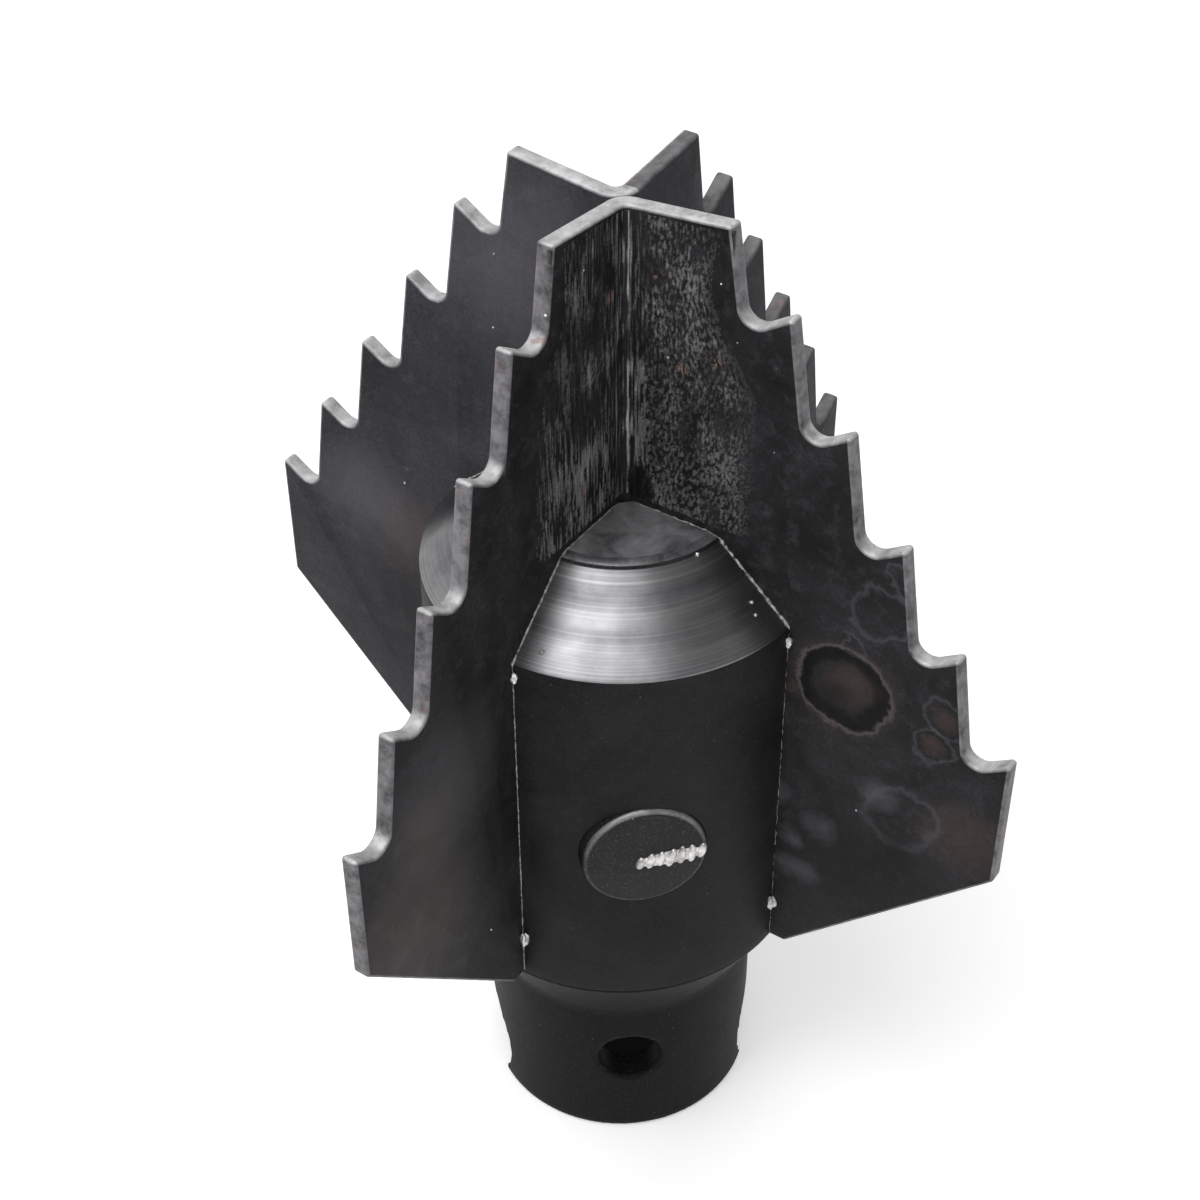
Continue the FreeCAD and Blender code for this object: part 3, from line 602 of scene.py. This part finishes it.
def bendScale(name, turn, seed):
    # scale torn into streaks on the inside of a bend; its rim dips into the plate
    look = scaleLook
    acrossSteps = int(2 * look["reach"] / look["stepAcross"])
    upSteps = int((look["top"] - look["low"]) / look["stepUp"])
    deselectAll()
    bpy.ops.mesh.primitive_grid_add(x_subdivisions=acrossSteps, y_subdivisions=upSteps, size=2)
    piece = bpy.context.object
    piece.name = name
    tones = piece.data.attributes.new("scaleTone", "FLOAT_COLOR", "POINT")
    first, second = towards(turn), towards(turn + 90)
    offset, bend = wingOffset["open"], look["bend"]
    arc = bend * math.pi / 4
    centre = offset + bend
    sootAcross, sootHeight, sootWide, sootTall = look["sootAndShade"]
    patchRag, flakeRag = look["ragged"]
    rimTop, rimFoot = look["rimEnds"]
    for vertex, tone in zip(piece.data.vertices, tones.data):
        share, lift = vertex.co.x, (vertex.co.y + 1) / 2
        top = look["top"] + look["topRise"] * abs(share) * look["reach"]
        height = look["low"] + lift * (top - look["low"])
        reach = min(look["lowReach"], look["reach"] + look["widening"] * max(
            0.0, look["widenBelow"] - height))
        across = share * reach
        side = 1 if across > 0 else -1
        if abs(across) < arc:
            angle = math.radians(225) - across / bend
            outward = (-math.cos(angle), -math.sin(angle))
            spot = (centre - bend * outward[0], centre - bend * outward[1])
        elif side > 0:
            outward, spot = (1, 0), (offset, centre + across - arc)
        else:
            outward, spot = (0, 1), (centre - across - arc, offset)
        # long streaks beside the bend and on the first wing, short flakes on the second
        streak = layered(across, height, seed, look["streaks"])
        flake = layered(across, height, seed, look["flakes"])
        patchy = layered(across, height, seed, look["patches"])
        streaky = max(1 - smoothStep(*look["streaksOnly"], abs(across)),
                      0.0 if side > 0 else look["firstWingStreaks"])
        torn = streak * streaky + flake * (1 - streaky)
        # 1 on the scale, 0 along its ragged rim
        rim = smoothStep(*look["rimSpan"], abs(share) + patchRag * patchy + flakeRag * flake)
        rim *= smoothStep(1.0, rimTop, lift) * smoothStep(0.0, rimFoot, lift)
        rim *= smoothStep(1.0, look["rimSides"], abs(share))
        rise = look["lift"] + look["relief"] * smoothStep(-0.1, 0.8, torn + 0.3 * patchy)
        # the lines: the crease's painted shade and the painted highlight beside it, then drag
        # lines
        line = 0.0
        for lineAcross, lineWide, lineTone in look["lines"]:
            drift = across - lineAcross - 0.3 * noise.noise(
                Vector((lineAcross, height / 26.0, seed)))
            line += lineTone * math.exp(-(drift / lineWide) ** 2)
        value = look["tone"] + look["patchTone"] * patchy + torn * (
            look["streakTone"] * streaky + look["flakeTone"] * (1 - streaky))
        haze = (1 - smoothStep(*look["hazeHeights"], height)) * (
            smoothStep(*look["hazeAcross"], abs(across)))
        value += line + haze * (look["firstHaze"] if side < 0 else (
            look["secondHaze"] * (0.6 + 0.15 * streak - value)))
        rise += 0.2 * line
        # painted shade with soot: darker in a spot at the foot of the crease
        sootAndShade = math.hypot((across - sootAcross) / sootWide, (height - sootHeight) / sootTall)
        value *= smoothStep(0.6, 1.15, sootAndShade + 0.3 * flake)
        edgeTone = look["rimTone"] + 0.25 * patchy       # near the plate's own colour
        value = edgeTone + (value - edgeTone) * smoothStep(0.0, 0.6, rim)
        rise = -look["sunk"] + smoothStep(0.0, 0.25, rim) * (look["sunk"] + rise)
        rust = 0.0
        for fleckAcross, fleckHeight, fleckSize in look["flecks"]:
            away = math.hypot(across - fleckAcross, height - fleckHeight) / fleckSize
            rust = max(rust, 1 - smoothStep(0.5, 1.0, away + 0.8 * flake))
        tone.color = (min(1, max(0, value)), 0.75 * rust, 0, 1)
        flat = first * (spot[0] + rise * outward[0]) + second * (spot[1] + rise * outward[1])
        vertex.co = (flat + Vector((0, 0, height))) * mm
    applyModifier(piece, "SOLIDIFY", thickness=look["thick"] * mm, offset=-1)
    piece.data.materials.append(drawnScale)
    finishPiece(piece, smoothAngle=180)


bendScale("frontBendScale", 225, 3)
bendScale("rearBendScale", 45, 41)
print("wing plates dressed")

quarterTurns = {"front": 225, "right": 315, "rear": 45, "left": 135}   # each one's first wing
blockLook = {
    "steps": 256, "hub": 57.0, "bottom": 84.5, "coneBase": 208.0, "coneTop": 34.0,
    "coneTopHeight": 228.7, "flat": 31.0, "top": 229.6, "groove": 0.5, "core": 1.0,
    "passes": (212.6, 217.4, 222.8), "ridge": 0.14, "ridgeWide": 0.45,
    "round": 0.5, "segments": 3, "levels": 32,
}


def noseBlock(quarter):
    # quarter of a turned nose, with lathe passes on its cone and a parting groove above it
    look = blockLook
    node = "nose_block_" + quarter
    slope = (look["coneTop"] - look["hub"]) / (look["coneTopHeight"] - look["coneBase"])

    def coneReach(height):
        return look["hub"] + slope * (height - look["coneBase"])

    outline = [(look["core"], look["bottom"])]
    outline += [(look["hub"], height) for height in levels(
        look["bottom"], look["coneBase"], look["levels"])]
    for height in look["passes"]:
        outline += [(coneReach(height - look["ridgeWide"]), height - look["ridgeWide"]),
                    (coneReach(height) + look["ridge"], height),
                    (coneReach(height + look["ridgeWide"]), height + look["ridgeWide"])]
    groove = look["groove"]
    grooveFoot = look["coneTopHeight"] - groove
    outline += [(coneReach(grooveFoot), grooveFoot),
                (coneReach(grooveFoot) - groove, grooveFoot - 0.3 * groove),
                (look["coneTop"] - groove, look["coneTopHeight"]),
                (look["flat"], look["top"]), (look["core"], look["top"])]
    piece = turnedSolid("noseBlock" + quarter.capitalize(), outline, look["steps"])
    turn = quarterTurns[quarter]
    first, second = towards(turn), towards(turn + 90)
    solid = [vertex.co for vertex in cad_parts[node].data.vertices]
    for normal in (second, first, (first + second).normalized()):
        sliceOff(piece, normal * min(point.dot(normal) for point in solid), normal)

    for material in (blockBar, turnedSteel, ringBand, blockTop):
        piece.data.materials.append(material)
    for face in piece.data.polygons:
        height = face.center.z / mm
        if face.normal.z > 0.99:
            face.material_index = 3
        elif face.normal.z > 0.05 and height > look["coneTopHeight"] - 0.1:
            face.material_index = 2
        elif face.normal.z > 0.3 and look["coneBase"] < height < grooveFoot:
            face.material_index = 1
    bore = roundBar(plugLook["radius"] + plugLook["gap"], plugLook["boreLength"])
    layAlong(bore, plugAxis(turn), plugStart(turn, plugLook["floor"]))
    drill(piece, bore)
    roundChosen(piece, look, lambda point: (
        abs(point.xy.length - look["hub"]) < closeTo and (
            min(abs(point.z - look["coneBase"]), abs(point.z - look["bottom"])) < closeTo)))
    finishPiece(piece, (node,))


plugLook = {"radius": 18.0, "gap": 0.25, "floor": 32.0, "end": 57.8, "height": 142.8,
            "aside": 4.5, "round": 1.3, "segments": 4, "boreLength": 60}


def plugAxis(turn):
    return towards(turn + 45)


def plugStart(turn, reach):
    look = plugLook
    return towards(turn + 45) * reach + towards(turn + 135) * plugSide[turn] * look["aside"] + (
        Vector((0, 0, look["height"])))


def plugSideOf(quarter):
    # which way the plug sits beside the middle of its block, read from the solid
    turn = quarterTurns[quarter]
    points = [vertex.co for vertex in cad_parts["block_plug_" + quarter].data.vertices]
    across = [point.dot(towards(turn + 135)) for point in points]
    return 1 if max(across) + min(across) > 0 else -1


plugSide = {quarterTurns[quarter]: plugSideOf(quarter) for quarter in quarterTurns}


def blockPlug(quarter):
    # round bar let into the block, its end flat and a painted highlight of pale grey on its rim
    look = plugLook
    turn = quarterTurns[quarter]
    node = "block_plug_" + quarter
    length = look["end"] - look["floor"]
    piece = roundBar(look["radius"], length)
    piece.name = "blockPlug" + quarter.capitalize()
    piece.data.materials.append(plugEnd)
    piece.data.materials.append(paintedRimHighlight)
    roundChosen(piece, look, lambda point: point.z > length - closeTo, slotIndex=1)
    layAlong(piece, plugAxis(turn), plugStart(turn, look["floor"]))
    finishPiece(piece, (node,))


for quarter in quarterTurns:
    noseBlock(quarter)
    blockPlug(quarter)
print("blocks and plugs dressed")


socketLook = {
    "steps": 192, "radius": 42.3, "bore": 32.5, "depth": 62.0, "neck": 59.0, "top": 84.4,
    "shoulder": 57.0, "chamfer": 1.5, "core": 0.6, "pinTurn": -97.0, "pinRadius": 9.75,
    "pinHeight": 35.0, "cutRadius": 18.0, "cutHeight": 12.0, "voxel": 0.88, "smoothing": 4,
    "levels": 18, "neckRound": 3.0, "drillLength": 140,
    "neckSteps": ((0.48, 0.4), (1.5, 2.4)),              # out and up from the neck, in mm
}


def driveSocket():
    # flared socket with its pin hole and side openings, its rims soft as forged ones are
    look = socketLook
    chamfer = look["chamfer"]
    outline = [(look["bore"] + chamfer, 0), (look["radius"] - chamfer, 0),
               (look["radius"] - 0.3 * chamfer, 0.3 * chamfer)]
    outline += [(look["radius"], height) for height in levels(
        chamfer, look["neck"] - look["neckRound"], look["levels"])]
    outline += [(look["radius"] + out, look["neck"] + up) for out, up in look["neckSteps"]]
    outline += [(look["shoulder"], look["top"]), (look["core"], look["top"]),
                (look["core"], look["depth"])]
    outline += [(look["bore"], height) for height in reversed(levels(
        chamfer, look["depth"], look["levels"]))]
    piece = turnedSolid("driveSocket", outline, look["steps"])
    for turn, radius, height in (
            (look["pinTurn"], look["pinRadius"], look["pinHeight"]),
            (look["pinTurn"] + 90, look["cutRadius"], look["cutHeight"])):
        bar = roundBar(radius, look["drillLength"], vertices=128)
        layAlong(bar, towards(turn),
                 Vector((0, 0, height)) - towards(turn) * look["drillLength"] / 2)
        drill(piece, bar)
    piece.data.materials.append(socketScale)
    applyModifier(piece, "REMESH", mode="VOXEL", voxel_size=look["voxel"] * mm)
    applyModifier(piece, "SMOOTH", factor=0.5, iterations=look["smoothing"])
    for vertex in piece.data.vertices:                  # nothing under the ground
        vertex.co.z = max(vertex.co.z, 0)
    finishPiece(piece, ("drive_socket",), smoothAngle=180)


driveSocket()
print("socket dressed")

spineLook = {"voxel": 0.7, "lumpSize": 3.2, "lumpDepth": 0.8, "pitch": 3.1, "ripple": 0.34,
             "bow": 1.1}


def spineWeld(side):
    # ragged bead in the gap between the two bends
    look = spineLook
    node = "spine_weld_" + side
    piece = copyOfNode(node, "spineWeld" + side.capitalize())
    applyModifier(piece, "REMESH", mode="VOXEL", voxel_size=look["voxel"] * mm)
    normals = [Vector(vertex.normal) for vertex in piece.data.vertices]
    for vertex, normal in zip(piece.data.vertices, normals):
        spot = vertex.co / (look["lumpSize"] * mm)
        push = look["lumpDepth"] * min(0.2, noise.noise(Vector((spot.x, spot.y, spot.z * 1.4))))
        bowed = vertex.co.z / mm + look["bow"] * abs(vertex.co.y / mm) + 0.8 * noise.noise(spot)
        push += look["ripple"] * (math.sin(math.tau * bowed / look["pitch"]) - 1)
        vertex.co += normal * push * mm
    piece.data.materials.append(spineBead)
    finishPiece(piece, (node,), smoothAngle=60)


spineWeld("left")
spineWeld("right")

# share of the plain tack's width and height, how lumpy, and how far in, in mm
tackLook = {"upperSize": (0.42, 0.5), "lowerSize": (0.6, 0.75), "lump": 0.5, "lumpSize": 1.4,
            "inward": 0.35}


def tackPlaces(node):
    # middle and half size of each plain tack in the node
    source = copyOfNode(node, "plainTacks")
    shape = bmesh.new()
    shape.from_mesh(source.data)
    bpy.data.objects.remove(source)
    left = set(shape.verts)
    boxes = []
    while left:
        group, waiting = set(), [left.pop()]
        while waiting:
            vertex = waiting.pop()
            group.add(vertex)
            for edge in vertex.link_edges:
                other = edge.other_vert(vertex)
                if other in left:
                    left.discard(other)
                    waiting.append(other)
        low = Vector([min(v.co[axis] for v in group) for axis in range(3)])
        high = Vector([max(v.co[axis] for v in group) for axis in range(3)])
        boxes.append(((low + high) / 2, (high - low) / 2))
    shape.free()
    return sorted(boxes, key=lambda box: tuple(box[0]))


def tackWelds(node, name, size):
    # one lumpy dot of weld in the place of each plain tack
    look = tackLook
    dots = []
    for centre, half in tackPlaces(node):
        deselectAll()
        bpy.ops.mesh.primitive_ico_sphere_add(subdivisions=4, radius=1)
        dot = bpy.context.object
        inward = Vector((-centre.x, -centre.y, 0)).normalized() * look["inward"] * mm
        for vertex in dot.data.vertices:
            lump = 1 + look["lump"] * noise.noise(vertex.co * look["lumpSize"] + centre * 900)
            vertex.co = Vector((vertex.co.x * half.x * size[0], vertex.co.y * half.y * size[0],
                                vertex.co.z * half.z * size[1])) * lump + centre + inward
        dots.append(dot)
    piece = joinAll(dots, name)
    piece.data.materials.append(weldMetal)
    finishPiece(piece, (node,), smoothAngle=180)


tackWelds("upper_tack_welds", "upperTacks", tackLook["upperSize"])
tackWelds("lower_tack_welds", "lowerTacks", tackLook["lowerSize"])

seamLook = {
    "step": 1.1, "sides": 2, "seed": 11, "short": 3.5, "uneven": (0.55, 1.3),
    # thickness on the bar, on the cone and on the flat top, and waver, in mm, for each side
    "first": {"bar": 0.22, "cone": 0.34, "top": 0.22, "waver": 0.08},
    "second": {"bar": 0.1, "cone": 0.5, "top": 0.2, "waver": 0.18},
}


def seamLines(quarter, dice):
    # thin bright burr where a block meets the wings: up the bar, up the cone, over the top
    look = blockLook
    turn = quarterTurns[quarter]
    first, second = towards(turn), towards(turn + 90)
    solid = [vertex.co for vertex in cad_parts["nose_block_" + quarter].data.vertices]
    edge = min(point.dot(second) for point in solid) / mm
    path = [(look["hub"], look["bottom"] + 1, "bar"), (look["hub"], look["coneBase"], "cone"),
            (look["coneTop"], look["coneTopHeight"], "top"), (look["flat"], look["top"], "top"),
            (edge + seamLook["short"], look["top"], "top")]
    lines = []
    for side in ("first", "second"):
        along, aside = (first, second) if side == "first" else (second, first)
        sizes = seamLook[side]
        points = []
        for (reach0, height0, part), (reach1, height1, _) in zip(path, path[1:]):
            length = math.hypot(reach1 - reach0, height1 - height0)
            steps = max(1, int(length / seamLook["step"]))
            for step in range(steps):
                share = step / steps
                points.append((reach0 + (reach1 - reach0) * share,
                               height0 + (height1 - height0) * share, part))
        curve = bpy.data.curves.new("seam", "CURVE")
        curve.dimensions = "3D"
        curve.bevel_depth = mm
        curve.bevel_resolution = seamLook["sides"]
        curve.use_fill_caps = True
        spline = curve.splines.new("POLY")
        spline.points.add(len(points) - 1)
        for point, (reach, height, part) in zip(spline.points, points):
            waver = Vector([dice.uniform(-1, 1) for _ in range(3)]) * sizes["waver"]
            distance = math.sqrt(max(reach ** 2 - edge ** 2, 1))
            spot = along * distance + aside * edge + Vector((0, 0, height)) + waver
            point.co = (*(spot * mm), 1)
            point.radius = sizes[part] * dice.uniform(*seamLook["uneven"])
        line = bpy.data.objects.new("seam", curve)
        bpy.context.scene.collection.objects.link(line)
        activate(line)
        bpy.ops.object.convert(target="MESH")
        lines.append(bpy.context.object)
    return lines


seamDice = random.Random(seamLook["seed"])
seams = joinAll([line for quarter in quarterTurns for line in seamLines(quarter, seamDice)],
                "seamBurrs")
seams.data.materials.append(seamMetal)
finishPiece(seams, smoothAngle=60)

plugTackLook = {
    # a row of leaning ripples on a flat base, in mm from the middle of the bit
    "ripples": 7, "from": -6.0, "to": 11.8, "height": 140.6, "rise": 1.8, "tall": 3.1,
    "proud": 1.25, "wide": 1.3, "leans": (4, 16), "voxel": 0.18, "seed": 5,
    "base": (1.2, 0.4, 0.8),      # mm longer, and shares of a ripple's depth and height
}


def weldLump(divisions, half, lean, centre):
    # ellipsoid that leans sideways, its middle in the end face of the front plug
    deselectAll()
    segments, rings = divisions
    bpy.ops.mesh.primitive_uv_sphere_add(segments=segments, ring_count=rings, radius=1)
    lump = bpy.context.object
    turned = Matrix.Rotation(lean, 3, "Y")
    for vertex in lump.data.vertices:
        spot = Vector((vertex.co.x * half[0], vertex.co.y * half[1], vertex.co.z * half[2]))
        vertex.co = (turned @ spot + centre) * mm + Vector((0, -plugLook["end"] * mm, 0))
    return lump


def plugTack():
    # short rippled tack that locks the front plug, brushed bright
    look = plugTackLook
    dice = random.Random(look["seed"])
    ripples = []
    for index in range(look["ripples"]):
        share = index / (look["ripples"] - 1)
        tall = look["tall"] * (0.7 + 0.4 * math.sin(share * 2.4)) * dice.uniform(0.9, 1.1)
        lean = math.radians(dice.uniform(*look["leans"]))
        centre = Vector((look["from"] + (look["to"] - look["from"]) * share, 0,
                         look["height"] + look["rise"] * share + dice.uniform(-0.3, 0.3)))
        ripples.append(weldLump((24, 16), (look["wide"], look["proud"], tall), lean, centre))
    longer, depth, height = look["base"]
    half = (look["to"] - look["from"]) / 2
    middle = Vector(((look["from"] + look["to"]) / 2, 0, look["height"] + look["rise"] / 2))
    ripples.append(weldLump(
        (48, 24), (half + longer, look["proud"] * depth, look["tall"] * height),
        -math.atan(look["rise"] / (2 * half)), middle))
    piece = joinAll(ripples, "plugTack")
    applyModifier(piece, "REMESH", mode="VOXEL", voxel_size=look["voxel"] * mm)
    piece.data.materials.append(weldMetal)
    finishPiece(piece, smoothAngle=180)


plugTack()

spatterLook = {
    "drops": 34, "small": 0.18, "large": 0.42, "seed": 23, "innerReach": 14, "outerReach": 84,
    "lowest": 100, "lump": 0.35, "lumpSize": 1.6, "onOpenSide": 0.6,
    "hub": (60, 236, 238),           # no drop within this reach and height, but above it
    "wingTop": (315, 34, 1.5),       # top in the middle, and how it falls beyond a reach
    # place and size in mm: the three drops that sit on the front cone's left edge, and specks
    "placed": [(-30.1, -43.6, 211.6, 0.85), (-28.5, -27.9, 223.4, 0.8), (-26.5, -29.2, 223.8, 0.9),
               (14.5, -31.5, 228.4, 0.55), (28.0, -39.5, 216.0, 0.45), (28.5, -42.0, 213.5, 0.45)],
}


def spatter():
    # fine drops of weld metal stuck to the wings near the hub and on the cone
    look = spatterLook
    dice = random.Random(look["seed"])
    hubReach, hubTop, above = look["hub"]
    wingTop, levelReach, slope = look["wingTop"]
    spots = [(Vector(place[:3]), place[3]) for place in look["placed"]]
    for _ in range(look["drops"]):
        turn = dice.choice((225, 315, 45, 135))
        reach = dice.uniform(look["innerReach"], look["outerReach"])
        ceiling = wingTop - max(0.0, reach - levelReach) * slope
        height = dice.uniform(look["lowest"], ceiling)
        if reach < hubReach and height < hubTop:
            height = dice.uniform(above, ceiling)
        size = dice.uniform(look["small"], look["large"])
        isOpen = dice.random() < look["onOpenSide"]
        sideways = wingOffset["open"] if isOpen else -wingOffset["back"]
        sideways *= 1 if turn in (225, 45) else -1
        spots.append((towards(turn) * reach + towards(turn + 90) * sideways
                      + Vector((0, 0, height)), size))
    drops = []
    for spot, size in spots:
        deselectAll()
        bpy.ops.mesh.primitive_ico_sphere_add(subdivisions=3, radius=1)
        drop = bpy.context.object
        for vertex in drop.data.vertices:
            lump = 1 + look["lump"] * noise.noise(vertex.co * look["lumpSize"] + spot)
            vertex.co = (vertex.co * size * lump + spot) * mm
        drops.append(drop)
    piece = joinAll(drops, "weldSpatter")
    piece.data.materials.append(weldMetal)
    finishPiece(piece, smoothAngle=180)


spatter()
print("welds made")

studio = {
    "turn": 11.514, "rise": 39.563, "roll": 0.083,     # degrees
    "distance": 634.5, "lookHeight": 189.4,            # mm, from the point on the axis
    "focalPixels": 2198.6, "framePixels": 1200, "axisPixel": 620.65, "sensor": 36.0,
    "floorColour": "#f4f4f4", "bounceColour": "#7c7c7c", "floorSize": 16.0,
    "floorGlow": 0.36, "boreShade": "#161616", "boreEdge": (34, 31), "worldStrength": 0.42,
    # what is seen of the room: pale low down, dimmer high up towards one side
    "horizon": 0.9, "horizonSpan": (0.15, 0.4), "darkSide": (0.73, -0.24, 0.64),
    "darkSpan": (0.35, 0.95), "darkStrength": 0.1,
    "lampCentre": 200,                                 # height that the lamps face, in mm
    "lamps": [
        # name, turn and rise in degrees, distance, width and height in mm, watts
        ("broadPanel", 256, 52, 1750, 1100, 1300, 4.6),
        ("centreStrip", 251, 54, 1700, 60, 1300, 1.4),
        ("leftPanel", 214, 50, 1750, 700, 1100, 1.5),
        ("leftStrip", 219, 48, 1700, 50, 1100, 1.1),
        ("rightStrip", 270, 50, 1700, 50, 1000, 0.9),
        ("skyPanel", 196, 64, 1500, 1000, 1000, 11.5),
        ("backPanel", 70, 60, 1900, 1200, 1200, 7.0),
    ],
}

deselectAll()
bpy.ops.mesh.primitive_plane_add(size=studio["floorSize"])
floor = bpy.context.object
floor.name = "floor"
floorMaterial, tree, shader, place = newMaterial("paleFloor")
spread = addNode(tree, "VectorMath", {0: place}, operation="LENGTH")
outside, inside = studio["boreEdge"]
inBore = addNode(tree, "MapRange", {                  # unlit ground inside the socket's bore
    "Value": spread, "From Min": outside * mm, "From Max": inside * mm})
seen = seenDirectly(tree)
paper = addNode(tree, "Mix", {              # white to look at, greyer to light with
    0: seen, 6: srgb(studio["bounceColour"]), 7: srgb(studio["floorColour"])},
    data_type="RGBA")
ground = addNode(tree, "Mix", {
    0: inBore, 6: paper, 7: srgb(studio["boreShade"])}, data_type="RGBA")
glow = addNode(tree, "Math", {0: seen, 1: studio["floorGlow"]}, operation="MULTIPLY")
dressSurface(shader, {"specular": 0.1, "roughness": 0.9}, ground, links={
    "Emission Color": ground, "Emission Strength": glow})
floor.data.materials.append(floorMaterial)

turn, rise, roll = (math.radians(studio[key]) for key in ("turn", "rise", "roll"))
ahead = Vector((math.sin(turn) * math.cos(rise), math.cos(turn) * math.cos(rise), -math.sin(rise)))
level = Vector((math.cos(turn), -math.sin(turn), 0))
upward = level.cross(ahead)
right = level * math.cos(roll) + upward * math.sin(roll)
upward = upward * math.cos(roll) - level * math.sin(roll)
view = bpy.data.cameras.new("photoCamera")
view.sensor_width = studio["sensor"]
view.lens = studio["focalPixels"] * studio["sensor"] / studio["framePixels"]
view.shift_x = 0.5 - studio["axisPixel"] / studio["framePixels"]
view.clip_start = 0.01
camera = bpy.data.objects.new("photoCamera", view)
bpy.context.scene.collection.objects.link(camera)
turnMatrix = Matrix((right, upward, -ahead)).transposed()
stand = Vector((0, 0, studio["lookHeight"])) - ahead * studio["distance"]
camera.matrix_world = Matrix.Translation(stand * mm) @ turnMatrix.to_4x4()
bpy.context.scene.camera = camera

for name, around, above, distance, wide, tall, watts in studio["lamps"]:
    light = bpy.data.lights.new(name, "AREA")
    light.shape = "RECTANGLE"
    light.size = wide * mm
    light.size_y = tall * mm
    light.energy = watts
    lamp = bpy.data.objects.new(name, light)
    bpy.context.scene.collection.objects.link(lamp)
    out = towards(around) * math.cos(math.radians(above)) + Vector(
        (0, 0, math.sin(math.radians(above))))
    lamp.location = (Vector((0, 0, studio["lampCentre"])) + out * distance) * mm
    lamp.rotation_euler = (-out).to_track_quat("-Z", "Y").to_euler()

world = bpy.data.worlds.new("softRoom")
bpy.context.scene.world = world
world.use_nodes = True
tree = world.node_tree
air = tree.nodes["Background"]
air.inputs["Color"].default_value = (1, 1, 1, 1)
direction = addNode(tree, "TexCoord").outputs["Generated"]
sideways = addNode(tree, "VectorMath", {
    0: direction, 1: studio["darkSide"]}, operation="DOT_PRODUCT")
low, high = studio["darkSpan"]
upper = addNode(tree, "MapRange", {                     # the room is dimmer high on the right
    "Value": sideways, "From Min": low, "From Max": high,
    "To Min": studio["worldStrength"], "To Max": studio["darkStrength"]})
lift = addNode(tree, "SeparateXYZ", {"Vector": direction})
low, high = studio["horizonSpan"]
backdrop = addNode(tree, "MapRange", {                  # pale near the ground, as the floor is
    "Value": lift.outputs["Z"], "From Min": low, "From Max": high,
    "To Min": studio["horizon"], "To Max": upper})
strength = addNode(tree, "Mix", {0: seenDirectly(tree), 2: studio["worldStrength"], 3: backdrop})
tree.links.new(strength.outputs[0], air.inputs["Strength"])
bpy.context.scene.view_settings.view_transform = "Standard"
print("studio set")
